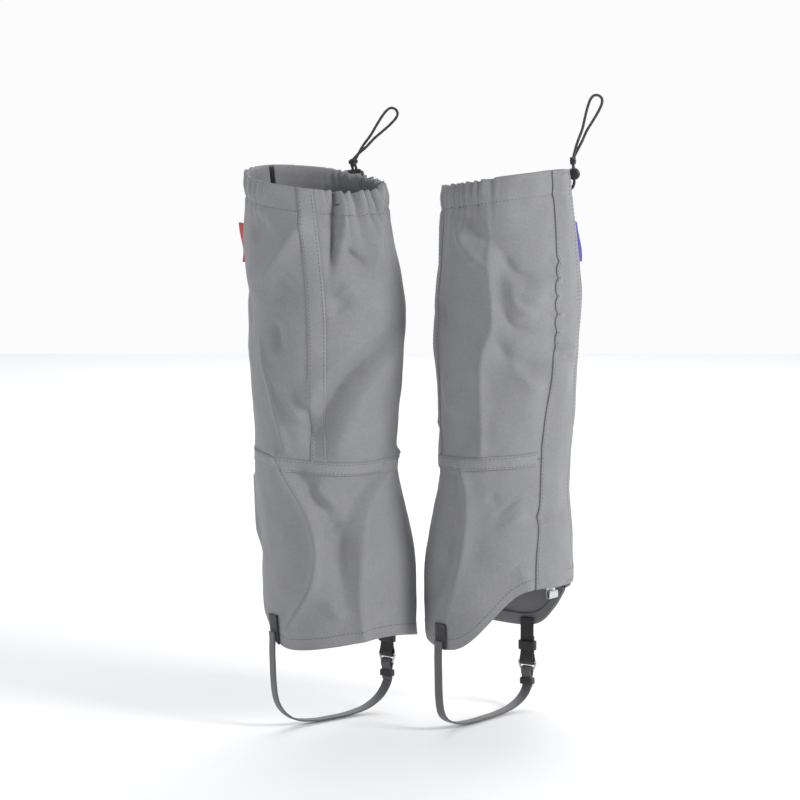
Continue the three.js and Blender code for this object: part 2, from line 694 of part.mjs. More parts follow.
function ring(leg) {
  const { at, across, facing } = buckleFrame(leg);
  const top = WEBBING_WIDTH / 2 + RING_BAR * 0.7;
  const low = STRAP_WIDTH / 2 + FACE_GAP * 2;
  const half = RING_HEIGHT / 2;
  const outline = new THREE.Shape();
  outline.moveTo(-top - RING_BAR, half + RING_BAR / 2);
  outline.lineTo(-low - RING_BAR, -half - RING_BAR / 2);
  outline.lineTo(low + RING_BAR, -half - RING_BAR / 2);
  outline.lineTo(top + RING_BAR, half + RING_BAR / 2);
  const window = new THREE.Path();
  window.moveTo(-top, half - RING_BAR / 2);
  window.lineTo(top, half - RING_BAR / 2);
  window.lineTo(low, -half + RING_BAR / 2);
  window.lineTo(-low, -half + RING_BAR / 2);
  outline.holes.push(window);
  const wire = new THREE.ExtrudeGeometry(outline, { depth: RING_BAR, bevelEnabled: false });
  wire.translate(0, 0, -RING_BAR / 2);
  const centre = at(0, RING_CENTRE_BELOW_PIVOT, -FOLD_HALF);
  return closed(framed(wire, centre, across, UP.clone(), facing.clone().negate()));
}

const STRAP_LOOP_HALF = RING_BAR * 0.9 + FACE_GAP + STRAP / 2;
const STRAP_FOLD_HALF = STRAP / 2 + FACE_GAP / 2;
const KEEPER_BELOW_PIVOT = RING_LOW_BAR + KEEPER_BELOW_RING;

// The strap's way under the foot: how far across it is and how high, as shares of the way and the drop.
const UNDER_FOOT = [
  [0.06, 0.5],
  [0.18, 0.16],
  [0.35, 0.016],
  [0.5, 0],
  [0.65, 0.016],
  [0.84, 0.22],
  [0.96, 0.8],
];
const STRAP_STEPS = 72;
const STRAP_TWIST = [0.3, 0.8];

// From its folded end on the ring, down the ankle, under the instep and up to the tab on the other side.
function instepStrap(leg) {
  const { tab, tabTop, inward, tabAcross, buckleAcross } = strapEnds(leg);
  const { at } = buckleFrame(leg);
  const middle = -FOLD_HALF;
  const hang = at(0, KEEPER_BELOW_PIVOT + KEEPER_HEIGHT, middle + STRAP_FOLD_HALF);
  const foot = tab.clone().setZ(0).sub(hang.clone().setZ(0)).length();
  const under = ([way, drop]) => {
    return hang.clone().setZ(STRAP / 2 + hang.z * drop).addScaledVector(inward, foot * way);
  };
  const points = [
    at(0, KEEPER_BELOW_PIVOT + KEEPER_HEIGHT, middle - STRAP_FOLD_HALF),
    at(0, KEEPER_BELOW_PIVOT - KEEPER_HEIGHT / 2, middle - STRAP_FOLD_HALF),
    at(0, RING_LOW_BAR, middle - STRAP_LOOP_HALF),
    at(0, RING_LOW_BAR - STRAP_LOOP_HALF, middle),
    at(0, RING_LOW_BAR, middle + STRAP_LOOP_HALF),
    at(0, KEEPER_BELOW_PIVOT - KEEPER_HEIGHT / 2, middle + STRAP_FOLD_HALF),
    hang,
    ...UNDER_FOOT.map(under),
    tab.clone().addScaledVector(UP, -STRAP_STRAIGHT),
    tab,
    tabTop,
  ];
  const across = (fraction) => {
    const turned = THREE.MathUtils.smoothstep(fraction, ...STRAP_TWIST);
    return buckleAcross.clone().lerp(tabAcross, turned).normalize();
  };
  const line = new THREE.CatmullRomCurve3(points, false, 'centripetal');
  return ribbon(line, across, STRAP_WIDTH, STRAP, STRAP_STEPS);
}

function keeper(leg) {
  const depth = 2 * STRAP + 3 * FACE_GAP;
  return sleeveRing(leg, KEEPER_BELOW_PIVOT, KEEPER_HEIGHT, STRAP_WIDTH + 2 * FACE_GAP, depth);
}

// ---- Assembly -----------------------------------------------------------------------------------

for (const leg of [LEFT, RIGHT]) {
  const part = (name, geometry, finish) => add(`${leg.name}_${name}`, geometry, finish);
  part('upper_shell', upperShell(leg), FINISHES.cloth);
  part('lower_shell', lowerShell(leg), FINISHES.cloth);
  part('top_casing', topCasing(leg), FINISHES.clothFacing);
  part('calf_band', calfBand(leg), FINISHES.cloth);
  part('seam_strip', seamStrip(leg), FINISHES.cloth);
  part('hem_facing', hemFacing(leg), FINISHES.clothFacing);
  part('closure_flap', flap(leg), FINISHES.cloth);
  part('hook_tape', closureTape(leg, TAPE_SURFACE), FINISHES.tape);
  part('loop_tape', closureTape(leg, LOOP_SURFACE), FINISHES.tape);
  part('label', label(leg), { color: leg.labelColor, roughness: 0.7, metalness: 0 });
  part('lace_hook', laceHook(leg), FINISHES.steel);
  part('lace_hook_rivet', rivet(leg), FINISHES.steel);
  part('drawcord', drawcord(leg), FINISHES.cord);
  part('drawcord_in_tunnel', cordInTunnel(leg), FINISHES.cord);
  part('cord_eyelet', eyelet(leg), FINISHES.plastic);
  part('cord_lock_body', lockBody(leg), FINISHES.plastic);
  part('cord_lock_button', lockButton(leg), FINISHES.plastic);
  part('cord_lock_spring', lockSpring(leg), FINISHES.steel);
  part('cord_knot', knot(leg), FINISHES.cord);
  part('strap_tab', strapTab(leg), FINISHES.webbing);
  part('buckle_webbing', buckleWebbing(leg), FINISHES.webbing);
  part('strap_slider', slider(leg), FINISHES.plastic);
  part('strap_ring', ring(leg), FINISHES.steel);
  part('instep_strap', instepStrap(leg), FINISHES.strap);
  part('strap_keeper', keeper(leg), FINISHES.webbing);
}

export default gaiters;
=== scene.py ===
# A pair of knee-high hiking gaiters, hanging as they do on the wearer's legs.
# Metres, +Z up, the wearer faces -Y. The left gaiter stands at +X and the right one at -X.
# A place on a sleeve is a girth angle in degrees, 0 at the garment's own front opening, and a height.
import math

import bmesh
import bpy
import numpy as np
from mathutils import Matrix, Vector


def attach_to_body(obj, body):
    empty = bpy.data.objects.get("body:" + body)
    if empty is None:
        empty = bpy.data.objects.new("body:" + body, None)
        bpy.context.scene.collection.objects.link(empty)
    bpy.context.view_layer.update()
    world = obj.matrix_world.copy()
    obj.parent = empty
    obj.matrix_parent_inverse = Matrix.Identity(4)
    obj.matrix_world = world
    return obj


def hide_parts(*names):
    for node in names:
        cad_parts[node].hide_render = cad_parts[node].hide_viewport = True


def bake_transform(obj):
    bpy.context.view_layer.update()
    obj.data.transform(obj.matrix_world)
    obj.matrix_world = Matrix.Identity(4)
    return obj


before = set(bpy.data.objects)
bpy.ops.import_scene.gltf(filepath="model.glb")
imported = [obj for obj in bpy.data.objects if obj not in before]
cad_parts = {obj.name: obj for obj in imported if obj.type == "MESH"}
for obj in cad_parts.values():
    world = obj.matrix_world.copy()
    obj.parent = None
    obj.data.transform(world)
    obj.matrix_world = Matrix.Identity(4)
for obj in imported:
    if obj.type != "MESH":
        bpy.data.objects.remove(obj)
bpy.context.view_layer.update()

# ---- The studio ----------------------------------------------------------------------------------
# A pale floor, three big soft lamps and a long lens a little above the knee, as for a catalogue.

LOOK_AT = Vector((-0.015, 0.0, 0.304))
CAMERA_DISTANCE = 2.8
CAMERA_ELEVATION = math.radians(7.5)
VIEW_WIDTH = 0.744
FLOOR_SIZE = 6.0
FLOOR_GAP = 0.0015
ROOM_TONE, BACKDROP_TONE, BACKDROP_STARTS = "#b2b4b7", "#fcfcfd", 0.75


def linear(hex_colour):
    """An sRGB hex colour as linear red, green, blue and alpha."""
    parts = [int(hex_colour[i : i + 2], 16) / 255 for i in (1, 3, 5)]
    return (*[c / 12.92 if c <= 0.04045 else ((c + 0.055) / 1.055) ** 2.4 for c in parts], 1.0)


def add_node(material, kind, settings=None, inputs=None, links=None):
    """Adds a node with its settings, its fixed inputs and the outputs that its inputs are linked to."""
    node = material.node_tree.nodes.new("ShaderNode" + kind)
    for name, value in (settings or {}).items():
        setattr(node, name, value)
    for name, value in (inputs or {}).items():
        node.inputs[name].default_value = value
    for name, output in (links or {}).items():
        material.node_tree.links.new(output, node.inputs[name])
    return node


def new_material(name, hex_colour, roughness, metallic=0.0, sheen=0.0, coat=0.0):
    """A material with the constants of its finish, and its shader, whose colour and bump are linked later."""
    material = bpy.data.materials.new(name)
    material.use_nodes = True
    material.diffuse_color = linear(hex_colour)
    shader = material.node_tree.nodes["Principled BSDF"]
    shader.inputs["Base Color"].default_value = linear(hex_colour)
    shader.inputs["Roughness"].default_value = roughness
    shader.inputs["Metallic"].default_value = metallic
    shader.inputs["Sheen Weight"].default_value = sheen
    shader.inputs["Sheen Roughness"].default_value = 0.6
    shader.inputs["Coat Weight"].default_value = coat
    return material, shader


def ramp(material, value, low, high, start=0.0, end=1.0):
    """A colour that goes from low to high as the value goes from start to end."""
    node = add_node(material, "ValToRGB", None, None, {"Fac": value})
    first, last = node.color_ramp.elements
    first.color, last.color = linear(low), linear(high)
    first.position, last.position = start, end
    return node.outputs["Color"]


camera_data = bpy.data.cameras.new("camera")
camera_data.sensor_width = 36.0
camera_data.lens = camera_data.sensor_width * CAMERA_DISTANCE / VIEW_WIDTH
camera = bpy.data.objects.new("camera", camera_data)
bpy.context.scene.collection.objects.link(camera)
to_camera = Vector((0, -math.cos(CAMERA_ELEVATION), math.sin(CAMERA_ELEVATION)))
camera.location = LOOK_AT + to_camera * CAMERA_DISTANCE
camera.rotation_mode = "QUATERNION"
camera.rotation_quaternion = (-to_camera).to_track_quat("-Z", "Y")
bpy.context.scene.camera = camera

world = bpy.data.worlds.new("studio")
world.use_nodes = True
glow = world.node_tree.nodes["Background"]
glow.inputs["Strength"].default_value = 1.0
# The studio is white behind the gaiters and dimmer on the other sides.
way = add_node(world, "SeparateXYZ", None, None, {"Vector": add_node(world, "TexCoord").outputs["Generated"]})
sky = ramp(world, way.outputs["Y"], ROOM_TONE, BACKDROP_TONE, end=BACKDROP_STARTS)
world.node_tree.links.new(sky, glow.inputs["Color"])
bpy.context.scene.world = world
bpy.context.scene.view_settings.view_transform = "Standard"

# Each lamp: name, where it stands, its width and its power in watts.
LAMPS = (
    ("key_lamp", (1.95, -1.15, 1.3), 0.8, 42),
    ("fill_lamp", (-1.9, -1.5, 0.9), 1.6, 13),
    ("back_lamp", (0.2, 2.3, 2.2), 2.4, 40),
)
for name, place, width, watts in LAMPS:
    lamp_data = bpy.data.lights.new(name, "AREA")
    lamp_data.size = width
    lamp_data.energy = watts
    lamp = bpy.data.objects.new(name, lamp_data)
    lamp.location = place
    lamp.rotation_mode = "QUATERNION"
    lamp.rotation_quaternion = (LOOK_AT - Vector(place)).to_track_quat("-Z", "Y")
    bpy.context.scene.collection.objects.link(lamp)


def show(name, mesh, *materials):
    """Puts a mesh in the scene as a piece with its materials."""
    piece = bpy.data.objects.new(name, mesh)
    for material in materials:
        mesh.materials.append(material)
    bpy.context.scene.collection.objects.link(piece)
    return piece


paper, _ = new_material("matt_paper_backdrop", "#fbfbfb", 0.95)
floor_mesh = bpy.data.meshes.new("floor")
floor_shape = bmesh.new()
bmesh.ops.create_grid(floor_shape, x_segments=1, y_segments=1, size=FLOOR_SIZE / 2)
bmesh.ops.translate(floor_shape, verts=floor_shape.verts, vec=(0, 0, -FLOOR_GAP))
floor_shape.to_mesh(floor_mesh)
floor_shape.free()
show("floor", floor_mesh, paper)

# ---- The drawcords -------------------------------------------------------------------------------
# A round braided elastic cord in the top tunnel of each gaiter. It leaves through an eyelet as two
# strands, which pass up through the cord lock and a knot and part into a loop that leans off the leg.

# The sleeve's half sizes across and along the leg at each height, and the leg's centre there.
HEIGHTS = np.array([0.075, 0.150, 0.252, 0.398, 0.511])
HALVES = np.array([[0.067, 0.069], [0.066, 0.071], [0.058, 0.065], [0.064, 0.073], [0.054, 0.062]])
TOP_RISE = 0.009
SEAM_RISE = 0.005
FRONT_HEM_HEIGHT = 0.137
STRAP_HEM_HEIGHT = 0.078
BACK_HEM_HEIGHT = 0.091
HEM_POINT_ANGLE = 98
CORD_DIAMETER = 0.0026
CORD_EXIT_DROP = 0.020
CORD_LENGTH = 0.201
BRAID_PITCH = 0.0034
BRAID_STRANDS = 8
BRAID_RELIEF = 0.045
LEGS = (
    dict(
        name="left", side=1, front=55, leg_turn=0, centres=(0.075, 0.075, 0.080, 0.083, 0.082),
        cord_angle=33, cord_lean=92, cord_tilt=22, label_angle=41, tab_angle=-104, buckle_angle=95,
    ),
    dict(
        name="right", side=-1, front=-142, leg_turn=-85, centres=(-0.068, -0.072, -0.083, -0.084, -0.096),
        cord_angle=71, cord_lean=88, cord_tilt=40, label_angle=-48, tab_angle=-82, buckle_angle=77,
    ),
)
# Each row: out from the sleeve, up, along the leaning loop, half the gap between the strands, and how
# many degrees that gap has turned into the plane of the loop.
CORD_ROUTE = (
    (-0.0006, 0, 0, 0.0019, 0), (0.003, 0.0003, 0, 0.0019, 0), (0.0068, 0.0024, 0, 0.0019, 0),
    (0.0088, 0.0064, 0, 0.0019, 0), (0.0092, 0.011, 0, 0.0019, 0), (0.0094, 0.016, 0, 0.0019, 0),
    (0.0096, 0.021, 0, 0.0019, 0), (0.0098, 0.027, 0, 0.0019, 0), (0.010, 0.029, 0.007, 0.0019, 30),
    (0.010, 0.029, 0.017, 0.0019, 75), (0.010, 0.029, 0.028, 0.0022, 90), (0.010, 0.029, 0.039, 0.004, 90),
    (0.010, 0.029, 0.049, 0.0054, 90), (0.010, 0.029, 0.0565, 0.0055, 90), (0.010, 0.029, 0.0604, 0.0039, 90),
    (0.010, 0.029, 0.062, 0, 90),
)
LOCK_ROWS = (4, 6)
KNOT_ROW = 7
LOCK_UP_THE_CORD = 0.4
UP = np.array([0.0, 0.0, 1.0])


def compass(degrees):
    """The level direction at that many degrees from -Y towards +X."""
    turn = np.radians(degrees)
    return np.stack([np.sin(turn), -np.cos(turn), 0 * turn], -1)


def unit(vectors):
    return vectors / np.linalg.norm(vectors, axis=-1, keepdims=True)


def smooth(low, high, value):
    t = np.clip((value - low) / (high - low), 0, 1)
    return t * t * (3 - 2 * t)


def profile(leg, height):
    """The leg's centre and the sleeve's two half sizes at some heights, on a natural cubic curve."""
    rows = np.column_stack([leg["centres"], HALVES])
    h = np.clip(np.asarray(height, float), HEIGHTS[0], HEIGHTS[-1])
    last = len(HEIGHTS) - 1
    i = np.clip(np.searchsorted(HEIGHTS, h, "right"), 1, last)
    before = np.where(i > 1, i - 2, i)
    after = np.where(i < last, i + 1, i - 1)
    half = (HEIGHTS[i] - HEIGHTS[i - 1]) / 2
    w_before = half / (HEIGHTS[i - 1] - HEIGHTS[before])
    w_after = half / (HEIGHTS[after] - HEIGHTS[i])
    p = (h - HEIGHTS[i - 1]) / (2 * half)
    shares = (
        w_before * (2 * p**2 - p**3 - p),
        (1 + w_before) * p**3 - (1.5 + 2 * w_before) * p**2 + (w_before - 0.5) * p + 1,
        (1.5 + w_after) * p**2 - (1 + w_after) * p**3 + 0.5 * p,
        w_after * (p**3 - p**2),
    )
    return sum(s[..., None] * rows[k] for s, k in zip(shares, (before, i - 1, i, after)))


def skin(leg, angle, height):
    """The smooth sleeve's inner face: its points, the ways out of it and the ways along its girth."""
    angle, height = np.broadcast_arrays(np.asarray(angle, float), np.asarray(height, float))
    centre, across, along = np.moveaxis(profile(leg, height), -1, 0)
    turn = np.radians(leg["front"] + leg["side"] * angle - leg["leg_turn"])
    sideways, toewards = compass(leg["leg_turn"] + 90.0), compass(float(leg["leg_turn"]))
    point = np.stack([centre, 0 * centre, height], -1)
    point = point + sideways * (across * np.sin(turn))[..., None]
    point = point + toewards * (along * np.cos(turn))[..., None]
    out = unit(sideways * (np.sin(turn) / across)[..., None] + toewards * (np.cos(turn) / along)[..., None])
    return point, out, np.cross(UP, out) * leg["side"]


def top_at(angle):
    return HEIGHTS[-1] + TOP_RISE * np.cos(np.radians(angle))


def seam_at(angle):
    return HEIGHTS[2] + SEAM_RISE * np.cos(np.radians(angle))


def hem_at(angle):
    """The hem is high over the instep, drops to a point at each strap and rises a little at the heel."""
    away = np.abs(np.mod(np.asarray(angle, float) + 180, 360) - 180)
    t = np.clip((away - HEM_POINT_ANGLE / 5) / (HEM_POINT_ANGLE * (1.05 - 1 / 5)), 0, 1)
    front = FRONT_HEM_HEIGHT + (STRAP_HEM_HEIGHT - FRONT_HEM_HEIGHT) * t**3 * (t * (6 * t - 15) + 10)
    back = STRAP_HEM_HEIGHT + (BACK_HEM_HEIGHT - STRAP_HEM_HEIGHT) * smooth(HEM_POINT_ANGLE, 180, away)
    return np.where(away < HEM_POINT_ANGLE, front, back)


def wall_frame(leg, angle, height):
    """The frame of a flat piece against the sleeve: a point, along the girth, up the wall and outward."""
    point, _, tangent = skin(leg, angle, height)
    up = unit(skin(leg, angle, height + 0.001)[0] - point)
    across = unit(tangent - up * (tangent @ up))
    return point, across, up, np.cross(across, up) * leg["side"]


def cord_exit(leg):
    return wall_frame(leg, leg["cord_angle"], top_at(leg["cord_angle"]) - CORD_EXIT_DROP)


def curve_through(points, steps):
    """A centripetal Catmull-Rom curve through the points, at evenly spaced places along it."""
    points = [np.asarray(p, float) for p in points]
    ends = [2 * points[0] - points[1], *points, 2 * points[-1] - points[-2]]
    line = []
    for a, b, c, d in zip(ends, ends[1:], ends[2:], ends[3:]):
        gaps = [max(np.linalg.norm(q - p), 1e-9) ** 0.5 for p, q in ((a, b), (b, c), (c, d))]
        leave = ((b - a) / gaps[0] - (c - a) / (gaps[0] + gaps[1]) + (c - b) / gaps[1]) * gaps[1]
        arrive = ((c - b) / gaps[1] - (d - b) / (gaps[1] + gaps[2]) + (d - c) / gaps[2]) * gaps[1]
        t = np.linspace(0, 1, 24, endpoint=False)[:, None]
        line.append(
            b + leave * t + (3 * (c - b) - 2 * leave - arrive) * t**2 + (2 * (b - c) + leave + arrive) * t**3
        )
    return evenly(np.vstack([*line, points[-1]]), steps)


def evenly(line, steps):
    """The line again, with its points evenly spaced."""
    run = np.concatenate([[0], np.cumsum(np.linalg.norm(np.diff(line, axis=0), axis=1))])
    places = np.linspace(0, run[-1], steps + 1)
    return np.stack([np.interp(places, run, line[:, k]) for k in range(3)], axis=1)


def length_of(line):
    return float(np.linalg.norm(np.diff(line, axis=0), axis=1).sum())


def mapped_grid(name, columns, rows, place, uv_size, weld=False):
    """A grid bent by place(u, v), which gives points for its fractions along and up. Its UV is in metres."""
    shape = bmesh.new()
    shape.loops.layers.uv.new("cut")
    bmesh.ops.create_grid(shape, x_segments=columns, y_segments=rows, size=0.5, calc_uvs=True)
    mesh = bpy.data.meshes.new(name)
    shape.to_mesh(mesh)
    shape.free()
    flat = np.zeros(len(mesh.vertices) * 3, np.float32)
    mesh.vertices.foreach_get("co", flat)
    u, v = flat.reshape(-1, 3)[:, 0].astype(float) + 0.5, flat.reshape(-1, 3)[:, 1].astype(float) + 0.5
    mesh.vertices.foreach_set("co", np.asarray(place(u, v), np.float32).ravel())
    uv = np.zeros(len(mesh.loops) * 2, np.float32)
    mesh.uv_layers[0].data.foreach_get("uv", uv)
    mesh.uv_layers[0].data.foreach_set("uv", (uv.reshape(-1, 2) * np.float32(uv_size)).ravel())
    if weld:
        shape = bmesh.new()
        shape.from_mesh(mesh)
        bmesh.ops.remove_doubles(shape, verts=shape.verts, dist=1e-6)
        bmesh.ops.holes_fill(shape, edges=[e for e in shape.edges if e.is_boundary])
        bmesh.ops.recalc_face_normals(shape, faces=shape.faces)
        shape.to_mesh(mesh)
        shape.free()
    mesh.polygons.foreach_set("use_smooth", [True] * len(mesh.polygons))
    return mesh


def frames_along(line, across=None):
    """Unit ways across and through at each point of a line. across follows the line if it isn't given."""
    ahead = unit(np.gradient(line, axis=0))
    if across is None:
        ways = [unit(np.cross(ahead[0], UP + 0.01))]
        for step in ahead[1:]:
            ways.append(unit(ways[-1] - step * (ways[-1] @ step)))
        across = np.array(ways)
    across = unit(across - ahead * (across * ahead).sum(1)[:, None])
    return across, np.cross(ahead, across)


def swept(name, line, section, sides, across=None, closed=False):
    """A tube of any section along a line. section(v, u) gives how far across and through its skin is."""
    if closed:
        line = np.vstack([line, line[:1]])
    steps = len(line) - 1
    sideways, through = frames_along(line, across)
    if closed:
        for ways in (sideways, through):
            ways[0] = ways[-1] = unit(ways[0] + ways[-1])

    def place(u, v):
        at = np.rint(u * steps).astype(int)
        wide, thick = section(v, u)
        return line[at] + sideways[at] * wide[:, None] + through[at] * thick[:, None]

    return mapped_grid(name, steps, sides, place, (length_of(line), 0.02), weld=True)


def braided(radius, length):
    """A round section whose skin has the diamonds of a braided sheath."""

    def section(v, u):
        turn = 2 * math.pi * v
        lay = 2 * math.pi * u * length / BRAID_PITCH / 2
        strands = np.maximum(np.sin(BRAID_STRANDS / 2 * turn + lay), np.sin(BRAID_STRANDS / 2 * turn - lay))
        r = radius * (1 - BRAID_RELIEF + BRAID_RELIEF * strands)
        return r * np.cos(turn), r * np.sin(turn)

    return section


def cord_line(leg):
    """The visible cord, from the eyelet round the loop and back to the eyelet."""
    point, across, up, outward = cord_exit(leg)
    tilt = math.radians(leg["cord_tilt"])
    loop_way = compass(float(leg["cord_lean"])) * math.sin(tilt) + UP * math.cos(tilt)
    loop_across = unit(np.cross(loop_way, compass(180.0)))
    strands = []
    for sign in (1, -1):
        strand = []
        for out, rise, along, spread, turn in CORD_ROUTE:
            place = point + outward * out + up * rise + loop_way * along
            place = place + across * sign * spread * math.cos(math.radians(turn))
            strand.append(place - loop_across * leg["side"] * sign * spread * math.sin(math.radians(turn)))
        strands.append(strand)
    return curve_through(strands[0] + strands[1][::-1][1:], 420)


def noise(material, scale, detail, roughness=0.5):
    """Noise over the piece's own coordinates, with that many bumps to the metre."""
    place = add_node(material, "TexCoord").outputs["Object"]
    sizes = {"Scale": scale, "Detail": detail, "Roughness": roughness}
    return add_node(material, "TexNoise", None, sizes, {"Vector": place}).outputs["Fac"]


def paint(material, shader, colour):
    material.node_tree.links.new(colour, shader.inputs["Base Color"])


def attach(leg, name, node, slot, body, mesh, *materials):
    """Shows a mesh as a piece of a gaiter that rides a body and stands for a CAD node."""
    piece = show(f"{leg['name']}_{name}", mesh, *materials)
    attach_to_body(piece, body)
    if node:
        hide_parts(f"{leg['name']}_{node}")
    return piece


# Braided polyester over rubber: matt black-grey yarn that catches a little light on each strand.
cord_yarn, cord_shader = new_material("braided_polyester", "#26262a", 0.75, sheen=0.25)
paint(cord_yarn, cord_shader, ramp(cord_yarn, noise(cord_yarn, 900.0, 3.0), "#1e1e21", "#313136", 0.35, 0.7))

for leg in LEGS:
    leg["cord"] = cord_line(leg)
    mesh = swept(leg["name"] + "_cord", leg["cord"], braided(CORD_DIAMETER / 2, CORD_LENGTH), 24)
    leg["cord_piece"] = attach(leg, "elastic_cord", "drawcord", "elastic_cord", "garments", mesh, cord_yarn)

# ---- The upper cloth -----------------------------------------------------------------------------
# One wrap of matt plain-weave polyester canvas round the calf, cut to the seam below it. The drawcord
# gathers its top into pleats, and it hangs in long soft folds between the pleats and the seam.

CLOTH = 0.0009
CLOTH_MIDDLE = 0.0008
CELL = 0.0021
OPENING_ANGLE = 5
EYELET_CUT = (0.0042, 0.0024)
SEAM_GAP = 0.00015
METRES_PER_DEGREE = 0.00112
CREASE_SHARE = 2.2
PLEAT_ANGLE = 8.2
PLEAT_DEPTH = 0.0050
PLEAT_FADE = 0.030
RIM_DIP = 0.0034
QUIET_RADIUS = 0.018
TUNNEL_PUFF, TUNNEL_MIDDLE, TUNNEL_SEAM = 0.0011, 0.011, 0.0222
HOOK_ANGLE = -10

# The creases of each garment, as (places, width, depth, edge, fade at the start, fade at the end).
# A place is a girth angle and a height in mm; width and depth are in mm, and a depth below 0 goes in.
# An edge of 1 is round and near 0 is sharp, and a fade of 0 runs on to the end at full depth.
CREASES = {
    "right": (
        (((147, 379), (200, 334), (224, 285)), 11, -5.5, 0.7, 1, 0),
        (((160, 385), (214, 336), (236, 296)), 10, 3.2, 0.5, 1, 0),
        (((144, 372), (186, 318), (208, 268)), 13, 3.6, 0.5, 1, 0),
        (((150, 505), (168, 460), (180, 411)), 9, 3.2, 0.15, 0, 1),
        (((198, 452), (181, 433)), 4, -2.4, 0.3, 1, 1),
        (((215, 392), (205, 398), (197, 411)), 5.5, -2.2, 0.5, 1, 1),
        (((207, 403), (196, 420)), 6, 2.2, 0.5, 1, 1),
        (((275, 411), (250, 441), (229, 471)), 9, 2.8, 0.4, 1, 0),
        (((262, 396), (238, 424)), 9, -2.6, 0.7, 1, 1),
        (((278, 455), (258, 478)), 8, -2.0, 0.7, 1, 1),
        (((277, 375), (262, 318), (250, 264)), 4.5, 2.1, 0.08, 1, 0),
        (((266, 346), (248, 312), (233, 286)), 4, 1.7, 0.1, 1, 1),
        (((256, 386), (254, 352)), 7, -3.0, 0.5, 1, 1),
        (((246, 330), (232, 300), (224, 262)), 7, -2.0, 0.6, 1, 0),
        (((259, 256), (233, 200), (236, 143), (262, 95)), 7.5, 4.2, 0.12, 0, 0),
        (((238, 246), (218, 196), (222, 146)), 9, -2.8, 0.7, 0, 1),
        (((230, 235), (212, 212)), 6, 2.4, 0.3, 1, 1),
        (((141, 257), (187, 206), (201, 150), (202, 95)), 7, 3.4, 0.15, 0, 0),
        (((163, 247), (200, 212), (214, 160), (212, 112)), 9, -3.2, 0.6, 0, 1),
        (((232, 181), (206, 200)), 4.5, -1.6, 0.3, 1, 1),
        (((228, 128), (216, 108)), 6, 1.8, 0.4, 1, 1),
        (((197, 507), (204, 462), (213, 419)), 4.5, -4.6, 0.25, 0, 1),
        (((190, 507), (196, 470), (202, 440)), 4.5, 3.0, 0.3, 0, 1),
        (((60, 430), (100, 380), (120, 330)), 12, -3.6, 0.6, 1, 1),
        (((30, 400), (60, 350), (90, 300)), 11, 2.8, 0.4, 1, 1),
        (((-20, 470), (-50, 420), (-70, 360)), 12, -3.2, 0.6, 1, 1),
        (((100, 240), (110, 170), (96, 100)), 8, 3.0, 0.2, 0, 1),
        (((20, 235), (34, 190)), 8, -2.4, 0.5, 1, 1),
        (((-40, 230), (-56, 160)), 9, 2.6, 0.3, 0, 1),
    ),
    "left": (
        (((-74, 492), (-70, 423), (-68, 380), (-76, 350), (-75, 262)), 8, 2.8, 0.08, 1, 0),
        (((-96, 250), (-88, 236), (-84, 173), (-96, 104)), 9, 4.9, 0.06, 0, 0),
        (((-108, 240), (-104, 176), (-118, 110)), 10, -2.8, 0.7, 0, 1),
        (((-66, 452), (-48, 427), (-20, 421)), 7, -2.7, 0.5, 1, 1),
        (((-62, 434), (-44, 410), (-18, 404)), 7, 2.8, 0.4, 1, 1),
        (((-60, 405), (-52, 381), (-30, 376)), 5.5, -2.4, 0.4, 1, 1),
        (((-55, 420), (-48, 398), (-30, 388)), 5, 2.2, 0.4, 1, 1),
        (((-71, 374), (-44, 344), (-12, 345)), 8, -2.8, 0.6, 1, 1),
        (((-60, 362), (-34, 326), (-16, 322)), 9, 2.4, 0.4, 1, 1),
        (((-112, 480), (-91, 449), (-60, 422)), 7, 2.8, 0.25, 1, 1),
        (((-104, 492), (-84, 466), (-56, 447)), 8, -2.4, 0.6, 1, 1),
        (((-125, 402), (-115, 373)), 8, -2.2, 0.5, 1, 1),
        (((-120, 340), (-104, 290)), 9, 1.8, 0.4, 1, 1),
        (((-63, 203), (-38, 224)), 5, -1.5, 0.3, 1, 1),
        (((-60, 192), (-34, 210)), 7, 1.2, 0.4, 1, 1),
        (((-68, 226), (-56, 214)), 6, -1.0, 0.5, 1, 1),
        (((-40, 204), (10, 202)), 6, -1.6, 0.4, 1, 1),
        (((-18, 362), (12, 356)), 4, 2.0, 0.2, 1, 1),
        (((-19, 440), (-4, 436)), 3.2, 1.3, 0.3, 1, 1),
        (((-18, 424), (-5, 421)), 3.2, 1.4, 0.3, 1, 1),
        (((-18, 408), (-6, 404)), 3.2, 1.2, 0.3, 1, 1),
        (((-19, 391), (-4, 389)), 3.2, 1.5, 0.3, 1, 1),
        (((-19, 376), (-6, 371)), 3.0, 1.2, 0.3, 1, 1),
        (((-16, 352), (6, 350)), 4, -1.5, 0.3, 1, 1),
        (((-40, 160), (-30, 140)), 8, 1.8, 0.5, 1, 0),
        (((60, 430), (100, 380), (120, 330)), 12, -3.6, 0.6, 1, 1),
        (((170, 470), (150, 410), (160, 350)), 11, -3.4, 0.6, 1, 1),
        (((200, 440), (188, 360), (196, 280)), 9, 2.8, 0.3, 1, 0),
        (((60, 330), (90, 280)), 10, 2.4, 0.5, 1, 1),
        (((150, 240), (140, 170), (156, 104)), 9, 3.4, 0.2, 0, 0),
        (((210, 235), (200, 150)), 10, -2.6, 0.6, 0, 1),
        (((60, 235), (72, 170)), 8, 2.4, 0.3, 0, 1),
    ),
}
# Where the cord has drawn the top into pleats: the middle of each stretch, its half width and its share.
PLEATED = {
    "right": ((178, 26, 1.0), (100, 40, 0.7), (-60, 34, 0.4)),
    "left": ((140, 40, 1.0), (64, 22, 0.5), (-112, 30, 0.55), (-76, 10, 0.35)),
}


